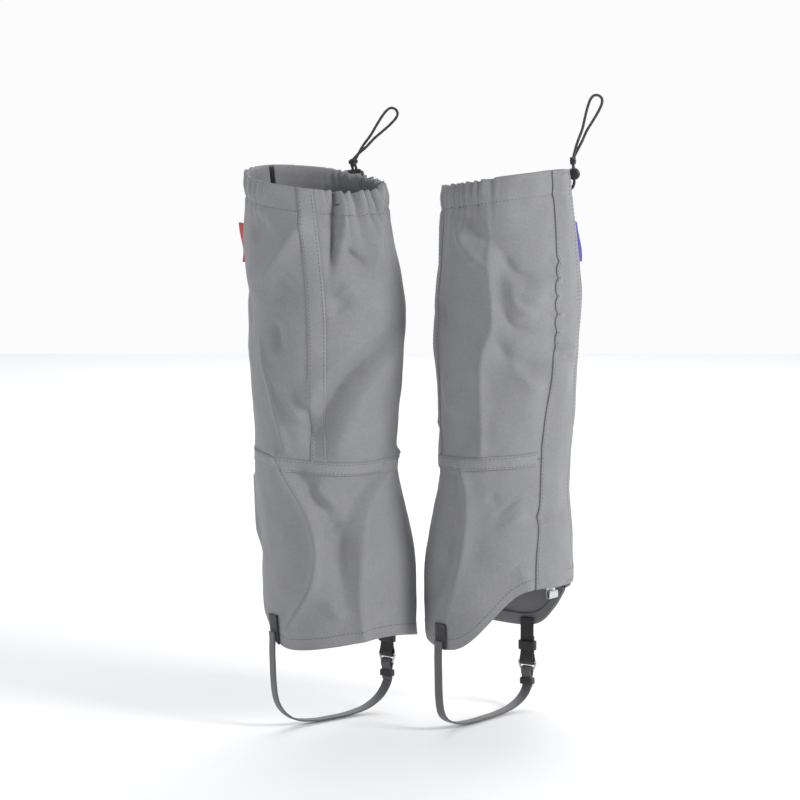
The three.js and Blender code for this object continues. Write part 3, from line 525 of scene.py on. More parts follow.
def crease(angle, height, row):
    """How far one crease lifts the cloth at each place, in metres."""
    places, width, depth, edge, fade_in, fade_out = row
    middle = np.mean([place[0] for place in places])
    x = (np.mod(angle - middle + 180, 360) - 180) * METRES_PER_DEGREE
    knots = [np.array([(a - middle) * METRES_PER_DEGREE, h / 1000]) for a, h in places]
    path = knots
    if len(knots) > 2:
        path = curve_through([(*knot, 0) for knot in knots], 5 * len(knots))[:, :2]
    run, done, nearest, share = length_of(np.array(path)), 0.0, np.full(angle.shape, 1e9), 0 * angle
    for a, b in zip(path, path[1:]):
        step = np.linalg.norm(b - a)
        t = np.clip(((x - a[0]) * (b - a)[0] + (height - a[1]) * (b - a)[1]) / step**2, 0, 1)
        far = np.hypot(x - a[0] - t * (b - a)[0], height - a[1] - t * (b - a)[1])
        share = np.where(far < nearest, (done + t * step) / run, share)
        nearest = np.minimum(far, nearest)
        done += step
    wide = width / 1000
    fold = np.exp((edge * wide - np.hypot(nearest, edge * wide)) / (0.62 * wide))
    start = smooth(-0.04, 0.35, share) if fade_in else 1
    end = smooth(-0.04, 0.35, 1 - share) if fade_out else 1
    return CREASE_SHARE * depth / 1000 * fold * (start * end)


def pleats(leg, angle, height):
    """How deep and at what phase the drawcord has gathered the cloth at each place."""
    below = np.maximum(top_at(angle) - height, 0)
    depth = 0 * angle
    for middle, half, share in PLEATED[leg["name"]]:
        away = np.abs(np.mod(angle - middle + 180, 360) - 180)
        depth = depth + share * (1 - smooth(half * 0.55, half * 1.45, away))
    phase = 2 * math.pi * (angle + 2.6 * np.sin(np.radians(7 * angle)) + 1.4 * np.sin(np.radians(17 * angle)))
    return depth * np.exp(-((below / PLEAT_FADE) ** 1.5)), phase / PLEAT_ANGLE


def quiet(leg, angle, height):
    """From 0 on the hardware to 1 away from it, where the cloth is free to fold."""
    still = 1.0
    for at, level in (
        (HOOK_ANGLE, hem_at(HOOK_ANGLE)),
        (leg["tab_angle"], hem_at(leg["tab_angle"]) + 0.010),
        (leg["buckle_angle"], hem_at(leg["buckle_angle"]) + 0.004),
        (leg["cord_angle"], top_at(leg["cord_angle"]) - CORD_EXIT_DROP),
    ):
        x = (np.mod(angle - at + 180, 360) - 180) * METRES_PER_DEGREE
        still = still * (1 - np.exp(-((x**2 + (height - level) ** 2) / QUIET_RADIUS**2) ** 1.5))
    return still


def folds(leg, angle, height):
    """How far the cloth stands off its smooth shape at each place, in metres."""
    turn, rise = np.radians(angle), height * 2 * math.pi
    odd = 1.7 if leg["side"] > 0 else 0.4
    lift = 0.0009 * np.sin(3 * turn + rise / 0.160 + odd) + 0.0007 * np.sin(5 * turn - rise / 0.110 + 2 * odd)
    lift = lift + 0.00045 * np.sin(9 * turn + rise / 0.071 + 3 * odd) * np.sin(2 * turn - rise / 0.19)
    lift = lift + 0.00022 * np.sin(16 * turn - rise / 0.043 + odd) * np.sin(3 * turn + rise / 0.09)
    for row in CREASES[leg["name"]]:
        lift = lift + crease(angle, height, row)
    depth, phase = pleats(leg, angle, height)
    lift = lift * (1 - 0.5 * np.exp(-(((height - seam_at(angle)) / 0.007) ** 2)))
    lift = lift + depth * PLEAT_DEPTH * (np.abs(np.sin(phase / 2)) ** 0.7 * 2 - 1.25)
    below = top_at(angle) - height
    lift = lift + TUNNEL_PUFF * np.exp(-(((below - TUNNEL_MIDDLE) / 0.006) ** 2))
    lift = lift - TUNNEL_PUFF * np.exp(-(((below - TUNNEL_SEAM) / 0.0022) ** 2))
    facing = np.cos(np.radians(leg["front"] + leg["side"] * angle + leg["side"] * 90))
    crowded = smooth(0.2, 0.8, facing) * (1 - smooth(0.20, 0.26, height))
    lift = np.where(lift > 0, lift * (1 - 0.72 * crowded), lift) - 0.0004
    return np.clip(lift, -0.0125, 0.0095) * quiet(leg, angle, height)


def cloth(leg, angle, height, offset):
    """Places on the folded sleeve, at that distance out of its inner face."""
    point, out, _ = skin(leg, angle, height)
    depth, phase = pleats(leg, angle, height)
    dip = UP * (depth * RIM_DIP * (np.abs(np.cos(phase / 2)) ** 1.5))[..., None]
    return point + out * (offset + folds(leg, angle, height))[..., None] - dip


def girth(leg, height):
    """The length round the sleeve at a height, without the opening."""
    across, along = profile(leg, height)[1:]
    return math.pi * (across + along) * (360 - OPENING_ANGLE) / 360


def cloth_layer(name, leg, edges, low, high, offset, columns, rows, uv_size):
    """A sheet on the sleeve. edges(v) are its two girth angles, low and high its heights at an angle."""

    def place(u, v):
        start, end = edges(v)
        angle = start + (end - start) * u
        height = low(angle) + (high(angle) - low(angle)) * v
        thick = offset(u, v) if callable(offset) else offset
        return cloth(leg, angle, height, thick)

    mesh = mapped_grid(f"{leg['name']}_{name}", columns, rows, place, uv_size)
    if leg["side"] < 0:
        mesh.flip_normals()
    return mesh


def thicken(piece, thickness, inside=0):
    """Gives a sheet its two faces; inside is the place of the inner face's material."""
    solid = piece.modifiers.new("thickness", "SOLIDIFY")
    solid.thickness = thickness
    solid.offset = 0
    solid.use_even_offset = False
    solid.material_offset = inside


def upright(start, end):
    """The two edges of a layer that keep their girth angles all the way up."""
    return lambda v: (0 * v + start, 0 * v + end)


wrap = upright(0, 360 - OPENING_ANGLE)


# Plain-weave polyester canvas: matt, with a faint sheen, a fine grain of crossing threads and slubs.
# The real threads are 0.35 mm apart; they are drawn 1.1 mm apart, so that the weave shows.
THREAD_SPACING = 0.0011
BAND_PERIOD = math.pi / 10


def threads(material, way, spacing, distortion, detail=2.0, detail_scale=1.0):
    """Bands along or across the cut cloth, one for each thread."""
    cut = add_node(material, "UVMap", {"uv_map": "cut"}).outputs["UV"]
    sizes = {"Scale": BAND_PERIOD / spacing, "Distortion": distortion}
    sizes.update({"Detail": detail, "Detail Scale": detail_scale})
    return add_node(material, "TexWave", {"bands_direction": way}, sizes, {"Vector": cut}).outputs["Color"]


def darken(material, share, first, second):
    """The first colour times the second, at that share."""
    colours = {"Color1": first, "Color2": second}
    return add_node(material, "MixRGB", {"blend_type": "MULTIPLY"}, {"Fac": share}, colours).outputs["Color"]


def emboss(material, shader, height, strength, distance, invert=False):
    """Bumps the surface by a height, on top of the bumps that it has."""
    normal = shader.inputs["Normal"]
    links = {"Height": height, **({"Normal": normal.links[0].from_socket} if normal.is_linked else {})}
    sizes = {"Strength": strength, "Distance": distance}
    bump = add_node(material, "Bump", {"invert": invert}, sizes, links)
    material.node_tree.links.new(bump.outputs["Normal"], normal)


def canvas(name, light, middle, dark, roughness, relief=0.35):
    """Woven cloth in three tones, with its threads along and across the cut."""
    material, shader = new_material(name, middle, roughness, sheen=0.18)
    ways = (threads(material, way, THREAD_SPACING, 0.6, 1.0, 0.4) for way in ("X", "Y"))
    weave = darken(material, 1.0, *ways)
    slub = noise(material, 620.0, 2.0, 0.7)
    tone = ramp(material, noise(material, 34.0, 5.0, 0.6), dark, light, 0.3, 0.7)
    grained = darken(material, 0.9, tone, ramp(material, slub, "#efefef", "#ffffff", 0.36, 0.64))
    woven = darken(material, 0.9, grained, ramp(material, weave, "#e2e2e3", "#ffffff", end=0.5))
    paint(material, shader, woven)
    emboss(material, shader, weave, relief, 0.00012)
    emboss(material, shader, slub, relief, 0.00025)
    return material


outer_canvas = canvas("polyester_canvas", "#929294", "#8e8e90", "#8a8a8c", 0.82)
# The inner faces and the turned-in facings get a coated canvas: smoother, with a flatter weave, and painted
# darker as shade for the inside of the sleeve.
coated_and_shaded_canvas = canvas("coated_canvas_inside_painted_shade", "#8c8c8f", "#868689", "#7f7f82", 0.7, 0.15)


def open_eyelet(mesh, leg, half_long, half_high):
    """Takes out the cloth inside the eyelet, so that the cord comes from the tunnel."""
    point, across, up, _ = cord_exit(leg)
    shape = bmesh.new()
    shape.from_mesh(mesh)
    gone = []
    for face in shape.faces:
        away = np.array(face.calc_center_median()) - point
        beside = abs(away @ across) < half_long and abs(away @ up) < half_high
        if beside and np.linalg.norm(away) < 2 * half_long:
            gone.append(face)
    bmesh.ops.delete(shape, geom=gone, context="FACES")
    shape.to_mesh(mesh)
    shape.free()


for leg in LEGS:
    high = top_at(0) - seam_at(0)
    wide = girth(leg, HEIGHTS[3])
    mesh = cloth_layer(
        "upper_cloth", leg, wrap, lambda angle: seam_at(angle) + SEAM_GAP, top_at,
        CLOTH_MIDDLE, round(wide / CELL), round(high / CELL), (wide, high),
    )
    open_eyelet(mesh, leg, *EYELET_CUT)
    piece = attach(leg, "upper_cloth", "upper_shell", "canvas", "garments", mesh, outer_canvas, coated_and_shaded_canvas)
    leg["upper_piece"] = piece
    thicken(piece, CLOTH, 1)

# ---- The lower cloth -----------------------------------------------------------------------------
# A second wrap of the same canvas from the seam to the hem, cut high over the instep and down to a
# point at each end of the strap. Its edge is turned in and stitched.

for leg in LEGS:
    high = seam_at(0) - STRAP_HEM_HEIGHT
    wide = girth(leg, HEIGHTS[0])
    mesh = cloth_layer(
        "lower_cloth", leg, wrap, hem_at, lambda angle: seam_at(angle) - SEAM_GAP,
        CLOTH_MIDDLE, round(wide / CELL), round(high / CELL), (wide, high),
    )
    piece = attach(leg, "lower_cloth", "lower_shell", "canvas", "garments", mesh, outer_canvas, coated_and_shaded_canvas)
    leg["lower_piece"] = piece
    thicken(piece, CLOTH, 1)

# ---- The calf bands and seam strips --------------------------------------------------------------
# Strips of the same canvas, folded at both edges and sewn over the seams: one round the calf where the
# upper and lower cloth meet, and one up the side of the calf over the sleeve's upright seam.

BAND = 0.0008
BAND_LIFT = 0.0017
BAND_CROWN = 0.00025
CALF_BAND_DEPTH = 0.012
SEAM_STRIP_WIDTH = 0.014
SEAM_STRIP_ANGLE = -137
TAPE_FROM, TAPE_TO = 6, 19
FLAP_SEWN = (-25, -7)
FLAP_FREE = (27, 22)
SEAM_UP_THE_FLAP = 0.3
FINE_CELL = 0.0015


def sewn_edge(v):
    return FLAP_SEWN[0] + (FLAP_SEWN[1] - FLAP_SEWN[0]) * v


def free_edge(v):
    return FLAP_FREE[0] + (FLAP_FREE[1] - FLAP_FREE[0]) * v


def degrees_for(leg, length, height):
    """The degrees of girth that a length takes up at a height."""
    across, along = profile(leg, height)[1:]
    return math.degrees(length / ((across + along) / 2))


def sew_on(leg, name, node, slot, mesh, thickness, materials, body="garments"):
    """A strip of cloth on the sleeve, thickened, on its body and in place of its CAD node."""
    piece = attach(leg, name, node, slot, body, mesh, *materials)
    thicken(piece, thickness)
    return piece


band_canvas = canvas("folded_canvas_binding", "#959597", "#919193", "#8d8d8f", 0.8)
for leg in LEGS:
    start, end = TAPE_TO + 1.2, 360 - OPENING_ANGLE + sewn_edge(SEAM_UP_THE_FLAP)
    long = girth(leg, HEIGHTS[2]) * (end - start) / (360 - OPENING_ANGLE)
    mesh = cloth_layer(
        "calf_band", leg, upright(start, end),
        lambda angle: seam_at(angle) - CALF_BAND_DEPTH / 2,
        lambda angle: seam_at(angle) + CALF_BAND_DEPTH / 2,
        lambda u, v: BAND_LIFT + BAND_CROWN * np.sin(math.pi * v),
        round(long / CELL), 8, (long, CALF_BAND_DEPTH),
    )
    piece = sew_on(leg, "calf_binding", "calf_band", "canvas", mesh, BAND, [band_canvas])

    half = degrees_for(leg, SEAM_STRIP_WIDTH / 2, HEIGHTS[2])
    high = HEIGHTS[-1] - HEIGHTS[2] - CALF_BAND_DEPTH / 2
    mesh = cloth_layer(
        "seam_strip", leg, upright(SEAM_STRIP_ANGLE - half, SEAM_STRIP_ANGLE + half),
        lambda angle: seam_at(angle) + CALF_BAND_DEPTH / 2, top_at,
        lambda u, v: BAND_LIFT + BAND_CROWN * np.sin(math.pi * u),
        9, round(high / CELL), (SEAM_STRIP_WIDTH, high),
    )
    piece = sew_on(leg, "seam_binding", "seam_strip", "canvas", mesh, BAND, [band_canvas])

# ---- The top casing and the hem facing -----------------------------------------------------------
# At the top and the hem the cloth is turned in and stitched down. At the top it bulges round the
# drawcord in its tunnel, and at the hem it lies flat.

CASING_DEPTH = 0.024
CASING_BULGE = 0.0036
HEM_FACING_DEPTH, HEM_FACING_LIFT = 0.012, -0.0004
TUNNEL_CORD_DEPTH = 0.0019

for leg in LEGS:
    long = girth(leg, HEIGHTS[-1])
    mesh = cloth_layer(
        "turned_top", leg, wrap, lambda angle: top_at(angle) - CASING_DEPTH,
        lambda angle: top_at(angle) - 0.0003,
        lambda u, v: -0.0005 - CASING_BULGE * np.sin(math.pi * v) ** 0.7, round(long / FINE_CELL), 14,
        (long, CASING_DEPTH),
    )
    piece = sew_on(leg, "turned_top", "top_casing", "facing", mesh, BAND, [coated_and_shaded_canvas])

    long = girth(leg, HEIGHTS[0])
    mesh = cloth_layer(
        "turned_hem", leg, wrap, lambda angle: hem_at(angle) + 0.0003,
        lambda angle: hem_at(angle) + HEM_FACING_DEPTH, HEM_FACING_LIFT,
        round(long / CELL), 6, (long, HEM_FACING_DEPTH),
    )
    piece = sew_on(leg, "turned_hem", "hem_facing", "facing", mesh, BAND, [coated_and_shaded_canvas])

    clear = degrees_for(leg, 0.0051, HEIGHTS[-1])
    angles = np.linspace(leg["cord_angle"] + clear, 360 - 2 * OPENING_ANGLE, 240)
    line = cloth(leg, angles, top_at(angles) - CASING_DEPTH / 2, -TUNNEL_CORD_DEPTH)
    mesh = swept(leg["name"] + "_tunnel_cord", line, braided(CORD_DIAMETER / 2, length_of(line)), 12)
    attach(leg, "tunnel_cord", "drawcord_in_tunnel", "elastic_cord", "garments", mesh, cord_yarn)

# ---- The front closures --------------------------------------------------------------------------
# A strip of hooks is sewn to the sleeve and a strip of loops under the flap that covers the opening.
# The flap is canvas sewn to the sleeve along one edge.

FLAP_CLOTH = 0.0012
FLAP_SEWN_LIFT, FLAP_LIFT = 0.0021, 0.0062
TAPE_END_MARGIN = 0.008
HOOK_TAPE_LIFT, LOOP_TAPE_LIFT = 0.0023, 0.0043
TAPE = 0.0011
TAPE_BELOW_HEM = 0.0036
HINGE_LIFT = 0.0112
BEND_BEFORE, BEND_AFTER = 0.003, 0.011


def pile(name, dark, light, size, relief):
    """Black nylon pile, its hooks or loops drawn as coarse bumps."""
    material, shader = new_material(name, dark, 0.9, sheen=0.3)
    place = add_node(material, "TexCoord").outputs["Object"]
    sizes = {"Scale": 1 / size, "Randomness": 0.7}
    tufts = add_node(material, "TexVoronoi", {"feature": "F1"}, sizes, {"Vector": place}).outputs["Distance"]
    paint(material, shader, ramp(material, tufts, light, dark, end=0.6))
    emboss(material, shader, tufts, relief, 0.0004, invert=True)
    return material


hook_pile = pile("nylon_hooks", "#0d0d0f", "#2c2c30", 0.0012, 0.9)
loop_pile = pile("nylon_loops", "#111113", "#242428", 0.0007, 0.6)
for leg in LEGS:
    side = leg["name"]
    for name, node, lift, pile_material, body in (
        ("hook_strip", "hook_tape", HOOK_TAPE_LIFT, hook_pile, "garments"),
        ("loop_strip", "loop_tape", LOOP_TAPE_LIFT, loop_pile, side + "_flap"),
    ):
        mesh = cloth_layer(
            name, leg, upright(TAPE_FROM, TAPE_TO),
            lambda angle: hem_at(angle) - TAPE_BELOW_HEM, lambda angle: top_at(angle) - TAPE_END_MARGIN,
            lift, 8, 190, (0.0145, 0.37),
        )
        sew_on(leg, name, node, "tape", mesh, TAPE, [pile_material], body)

    high = top_at(0) - FRONT_HEM_HEIGHT
    wide = METRES_PER_DEGREE * (FLAP_FREE[0] - FLAP_SEWN[0])
    mesh = cloth_layer(
        "front_flap", leg, lambda v: (sewn_edge(v), free_edge(v)), hem_at, top_at,
        lambda u, v: FLAP_SEWN_LIFT + (FLAP_LIFT - FLAP_SEWN_LIFT) * smooth(0, 0.4, u), 34, 220, (wide, high),
    )
    piece = show(side + "_front_flap", mesh, outer_canvas, outer_canvas)
    thicken(piece, FLAP_CLOTH, 1)
    low_end = skin(leg, FLAP_SEWN[0], FRONT_HEM_HEIGHT)
    high_end = skin(leg, FLAP_SEWN[1], HEIGHTS[-1])
    hinge = [end[0] + end[1] * HINGE_LIFT for end in (low_end, high_end)]
    hinge_way = unit(hinge[1] - hinge[0])
    flapwards = unit(low_end[2] + high_end[2])
    flapwards = unit(flapwards - hinge_way * (flapwards @ hinge_way))
    middle = (hinge[0] + hinge[1]) / 2
    bend = (middle - flapwards * BEND_BEFORE, middle + flapwards * BEND_AFTER)
    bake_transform(piece)
    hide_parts(side + "_closure_flap")

# ---- The stitching -------------------------------------------------------------------------------
# Lockstitch in grey polyester thread along every edge and binding: two rows on a binding, one at the
# casing and the hem, and a box at the foot of the flap. The thread is drawn a little thick to show.

STITCH_PITCH = 0.0036
STITCH_HALF = (0.00140, 0.00042, 0.00030)
EDGE_MARGIN = 0.0018
grey_thread, thread_shader = new_material("polyester_thread", "#505053", 0.6, sheen=0.2)
paint(grey_thread, thread_shader, ramp(grey_thread, noise(grey_thread, 1400.0, 1.0), "#404043", "#606063"))
bead_shape = bmesh.new()
bmesh.ops.create_uvsphere(bead_shape, u_segments=6, v_segments=4, radius=1)
BEAD_POINTS = np.array([vert.co[:] for vert in bead_shape.verts])
BEAD_FACES = [[vert.index for vert in face.verts] for face in bead_shape.faces]
bead_shape.free()


def stitch_row(line, outs):
    """The points of a row of stitches along a line, each one a small bead pressed into the cloth."""
    run = np.concatenate([[0], np.cumsum(np.linalg.norm(np.diff(line, axis=0), axis=1))])
    places = np.arange(STITCH_PITCH / 2, run[-1], STITCH_PITCH)
    points = np.stack([np.interp(places, run, line[:, k]) for k in range(3)], 1)
    ways = unit(np.stack([np.interp(places, run, outs[:, k]) for k in range(3)], 1))
    ahead = unit(np.gradient(points, axis=0))
    out = unit(ways - ahead * (ways * ahead).sum(1)[:, None])
    frames = np.stack([ahead, np.cross(out, ahead), out], 1) * np.array(STITCH_HALF)[None, :, None]
    return (points[:, None, :] + np.einsum("pk,nkx->npx", BEAD_POINTS, frames)).reshape(-1, 3)


def sewing(leg, name, rows, body, slot):
    """A piece made of rows of stitches. Each row is (girth angles, heights, offset)."""
    points = []
    for angles, heights, offset in rows:
        angles, heights = np.broadcast_arrays(np.asarray(angles, float), np.asarray(heights, float))
        points.append(stitch_row(cloth(leg, angles, heights, offset), skin(leg, angles, heights)[1]))
    points = np.vstack(points)
    beads = len(points) // len(BEAD_POINTS)
    faces = [[k + i * len(BEAD_POINTS) for k in face] for i in range(beads) for face in BEAD_FACES]
    mesh = bpy.data.meshes.new(f"{leg['name']}_{name}")
    mesh.from_pydata(points.tolist(), [], faces)
    mesh.polygons.foreach_set("use_smooth", [True] * len(mesh.polygons))
    attach(leg, name, None, slot, body, mesh, grey_thread)


SHELL_FACE = CLOTH_MIDDLE + CLOTH / 2
BAND_FACE = BAND_LIFT + BAND / 2
for leg in LEGS:
    round_leg = np.linspace(TAPE_TO + 3, 360 - OPENING_ANGLE - 10, 420)
    on_band = np.linspace(TAPE_TO + 2, 360 - OPENING_ANGLE + sewn_edge(SEAM_UP_THE_FLAP) - 1, 420)
    half = degrees_for(leg, SEAM_STRIP_WIDTH / 2 - EDGE_MARGIN, HEIGHTS[2])
    strip_foot = seam_at(SEAM_STRIP_ANGLE) + CALF_BAND_DEPTH / 2 + 0.001
    up_strip = np.linspace(strip_foot, top_at(SEAM_STRIP_ANGLE) - 0.002, 200)
    past_strip = 360 + SEAM_STRIP_ANGLE
    clear = degrees_for(leg, SEAM_STRIP_WIDTH / 2 + 0.001, HEIGHTS[-1])
    casing = [np.linspace(TAPE_TO + 3, past_strip - clear, 300), np.linspace(past_strip + clear, 350, 180)]
    rows = [(part, top_at(part) - CASING_DEPTH + EDGE_MARGIN, SHELL_FACE) for part in casing]
    aside = CALF_BAND_DEPTH / 2 - EDGE_MARGIN
    rows += [(on_band, seam_at(on_band) + k * aside, BAND_FACE) for k in (-1, 1)]
    rows += [(SEAM_STRIP_ANGLE + k * half, up_strip, BAND_FACE) for k in (-1, 1)]
    rows += [(round_leg, hem_at(round_leg) + HEM_FACING_DEPTH - EDGE_MARGIN, SHELL_FACE)]
    up_flap = np.linspace(0.012, 0.995, 300)
    sewn = sewn_edge(up_flap) + 1.6
    rows += [(sewn, hem_at(sewn) + (top_at(sewn) - hem_at(sewn)) * up_flap, FLAP_SEWN_LIFT + FLAP_CLOTH / 2)]
    sewing(leg, "sleeve_stitching", rows, "garments", "canvas")

    up_flap = np.linspace(0.008, 0.992, 300)
    face = FLAP_LIFT + FLAP_CLOTH / 2
    rows = []
    for inset in (1.6, 8.6):
        free = free_edge(up_flap) - inset
        rows += [(free, hem_at(free) + (top_at(free) - hem_at(free)) * up_flap, face)]
    box = np.linspace(5, FLAP_FREE[0] - 1.6, 20)
    rows += [(box, hem_at(box) + rise, face) for rise in (0.003, 0.014)]
    box = np.linspace(2, FLAP_FREE[1] - 1.6, 20)
    rows += [(box, top_at(box) - 0.003, face)]
    sewing(leg, "flap_stitching", rows, leg["name"] + "_flap", "canvas")

# ---- The labels ----------------------------------------------------------------------------------
# A folded satin ribbon sewn into the sleeve along one edge: red on the right gaiter and violet on the
# left. It carries no mark.

LABEL_HEIGHT, LABEL_WIDTH = 0.037, 0.013
LABEL_ABOVE_CALF = 0.0518
LABEL_STAND_OFF = 0.0105
LABEL_LIFT, LABEL_WAVE = 0.0018, 0.0006
LABEL_CLOTH = 0.0007
RIBBON_THREAD = 0.0009


def satin(name, middle, light):
    """Satin ribbon: smooth, with fine ribs across it that catch the light."""
    material, shader = new_material(name, middle, 0.5, sheen=0.04)
    ribs = threads(material, "Y", RIBBON_THREAD, 0.3)
    paint(material, shader, ramp(material, ribs, middle, light))
    emboss(material, shader, ribs, 0.4, 0.0001)
    return material


RIBBONS = {
    "left": (satin("violet_satin_ribbon", "#3a2f94", "#4c41a8"), "violet_label"),
    "right": (satin("red_satin_ribbon", "#a00614", "#bb1320"), "red_label"),
}
for leg in LEGS:
    height = HEIGHTS[3] + LABEL_ABOVE_CALF
    turn = degrees_for(leg, LABEL_WIDTH, height)
    ribbon, slot = RIBBONS[leg["name"]]
    mesh = cloth_layer(
        "side_label", leg, upright(leg["label_angle"], leg["label_angle"] + turn),
        lambda angle: 0 * angle + height - LABEL_HEIGHT / 2,
        lambda angle: 0 * angle + height + LABEL_HEIGHT / 2,
        lambda u, v: LABEL_LIFT + LABEL_STAND_OFF * u**1.4 + LABEL_WAVE * u * np.sin(5 * v),
        12, 30, (LABEL_WIDTH, LABEL_HEIGHT),
    )
    piece = sew_on(leg, "side_label", "label", slot, mesh, LABEL_CLOTH, [ribbon])

# ---- The cord locks, eyelets and knots -----------------------------------------------------------
# A moulded oval eyelet lines each hole. The cord lock is an acetal barrel round a spring and a button
# with a hole through both, and the two strands are tied in one knot above it.

EYELET_HOLE, EYELET_RIM, EYELET_THICKNESS = 0.0019, 0.0037, 0.0008
CORD_SPREAD = 0.0019
EYELET_OUT = 0.0026
BARREL_LOW, BARREL_HIGH = -0.0124, 0.0051
BARREL_RADIUS, BORE_RADIUS = 0.0054, 0.0041
BARREL_FLOOR = 0.0015
BUTTON_LOW, BUTTON_RADIUS, BUTTON_CAP = -0.0081, 0.0038, 0.003
SPRING_LOW, SPRING_LENGTH, SPRING_RADIUS, SPRING_WIRE, SPRING_TURNS = -0.0103, 0.0024, 0.0022, 0.0003, 3
KNOT_LAP = 0.0031
KNOT_ROPE = 0.0014
LOCK_RIM_WIRE, LOCK_RIM_RADIUS = 0.00045, 0.0019


def moulded(name, hex_colour, roughness):
    """Moulded acetal: satin black, with the faint unevenness of a textured tool."""
    material, shader = new_material(name, hex_colour, roughness)
    emboss(material, shader, noise(material, 1500.0, 2.0), 0.25, 0.0001)
    return material


black_acetal = moulded("black_acetal", "#1b1b1d", 0.42)
spring_steel, _ = new_material("spring_steel", "#b8b8bb", 0.25, metallic=1.0)


def lathed(name, outline, sides, centre, axis, across, stretch=None):
    """A turned shape. outline is (place along the axis, radius); stretch(turn, x) scales the radius."""
    outline = np.array(outline)
    rows = len(outline) - 1
    other = np.cross(axis, across)

    def place(u, v):
        turn = 2 * math.pi * u
        at = np.rint(v * rows).astype(int)
        x, radius = outline[at, 0], outline[at, 1]
        if stretch is not None:
            radius = radius * stretch(turn, x)
        ring = across * np.cos(turn)[:, None] + other * np.sin(turn)[:, None]
        return centre + axis * x[:, None] + ring * radius[:, None]

    return mapped_grid(name, sides, rows, place, (0.03, 0.03), weld=True)


def lock_frame(leg):
    point, across, up, outward = cord_exit(leg)
    rows = [CORD_ROUTE[row] for row in (*LOCK_ROWS, KNOT_ROW)]
    low, high, knot = (point + outward * row[0] + up * row[1] for row in rows)
    way = unit(high - low)
    return low + (high - low) * LOCK_UP_THE_CORD, across, np.cross(across, way), way, knot


def round_section(radius):
    return lambda v, u: (radius * np.cos(2 * math.pi * v), radius * np.sin(2 * math.pi * v))


def oval(half_long, radius, steps):
    """An oval of two half circles, as places along and across it."""
    turn = np.linspace(0, 2 * math.pi, steps, endpoint=False)
    return np.where(np.cos(turn) >= 0, half_long, -half_long) + radius * np.cos(turn), radius * np.sin(turn)


for leg in LEGS:
    side = leg["name"]
    point, across, up, outward = cord_exit(leg)
    along, high = oval(CORD_SPREAD, (EYELET_HOLE + EYELET_RIM) / 2, 48)
    line = point + outward * EYELET_OUT + across * along[:, None] + up * high[:, None]
    rim = (EYELET_RIM - EYELET_HOLE) / 2
    mesh = swept(
        side + "_eyelet", line,
        lambda v, u: (rim * np.cos(2 * math.pi * v), EYELET_THICKNESS / 2 * np.sin(2 * math.pi * v)), 12,
        across=np.cross(np.gradient(line, axis=0), outward)[[*range(len(line)), 0]], closed=True,
    )
    attach(leg, "eyelet", "cord_eyelet", "acetal", "garments", mesh, black_acetal)

    centre, axis, through, way, knot = lock_frame(leg)
    lock = side + "_lock"
    outline = [
        (BARREL_LOW, 0), (BARREL_LOW, 0.0030), (BARREL_LOW + 0.0003, 0.0042), (BARREL_LOW + 0.001, 0.0050),
        (BARREL_LOW + 0.0019, BARREL_RADIUS), (-0.0046, BARREL_RADIUS), (-0.0044, 0.0052), (0.0032, 0.0052),
        (0.0034, BARREL_RADIUS), (BARREL_HIGH - 0.0006, BARREL_RADIUS), (BARREL_HIGH - 0.0002, 0.0052),
        (BARREL_HIGH, 0.0049), (BARREL_HIGH, 0.0044), (BARREL_HIGH - 0.0002, BORE_RADIUS + 0.0001),
        (BARREL_HIGH - 0.0008, BORE_RADIUS), (BARREL_LOW + BARREL_FLOOR, BORE_RADIUS),
        (BARREL_LOW + BARREL_FLOOR, 0),
    ]
    body_mesh = lathed(side + "_lock_body", outline, 40, centre, axis, through)
    body = attach(leg, "lock_body", "cord_lock_body", "acetal", lock, body_mesh, black_acetal)
    for sign, end in ((1, "upper"), (-1, "lower")):
        along, round_it = oval(CORD_SPREAD, LOCK_RIM_RADIUS, 40)
        rise = np.sqrt(BARREL_RADIUS**2 - round_it**2) - 0.0003
        line = centre + axis * along[:, None] + through * round_it[:, None] + way * sign * rise[:, None]
        rim_wire = round_section(LOCK_RIM_WIRE)
        mesh = swept(f"{side}_{end}_lock_rim", line, rim_wire, 8, across=way, closed=True)
        attach(leg, end + "_lock_rim", None, "acetal", lock, mesh, black_acetal)
    top = BARREL_HIGH + BUTTON_CAP
    outline = [
        (BUTTON_LOW, 0), (BUTTON_LOW, 0.0032), (BUTTON_LOW + 0.0004, BUTTON_RADIUS),
        (top - 0.0012, BUTTON_RADIUS),
        (top - 0.0006, 0.0036), (top - 0.0002, 0.0030), (top - 0.0002, 0.0024), (top - 0.0005, 0.0021),
        (top - 0.0005, 0.0015), (top - 0.0002, 0.0012), (top - 0.0002, 0),
    ]
    button_mesh = lathed(
        side + "_lock_button", outline, 48, centre, axis, through,
        lambda turn, x: np.where(x > BARREL_HIGH, 1 - 0.02 * (1 + np.cos(16 * turn)), 1.0),
    )
    button = attach(
        leg, "lock_button", "cord_lock_button", "acetal", side + "_button", button_mesh, black_acetal
    )
    turns = np.linspace(0, SPRING_TURNS, 90)
    line = centre + axis * (SPRING_LOW + SPRING_LENGTH * turns / SPRING_TURNS)[:, None]
    line = line + SPRING_RADIUS * (
        way * np.cos(2 * math.pi * turns)[:, None] + through * np.sin(2 * math.pi * turns)[:, None]
    )
    mesh = swept(side + "_lock_spring", line, round_section(SPRING_WIRE), 8)
    spring = attach(leg, "lock_spring", "cord_lock_spring", "spring_steel", lock, mesh, spring_steel)
    t = np.linspace(0, 2 * math.pi, 121)[:-1]
    reach = KNOT_LAP / 3
    line = knot + axis * (reach * (np.sin(t) + 2 * np.sin(2 * t)) * 1.08)[:, None]
    line = line + way * (reach * (np.cos(t) - 2 * np.cos(2 * t)) * 0.95)[:, None]
    line = line - through * (0.0015 * np.sin(3 * t))[:, None]
    mesh = swept(side + "_knot", line, braided(KNOT_ROPE, length_of(line)), 20, closed=True)
    tied = attach(leg, "knot", "cord_knot", "elastic_cord", "garments", mesh, cord_yarn)

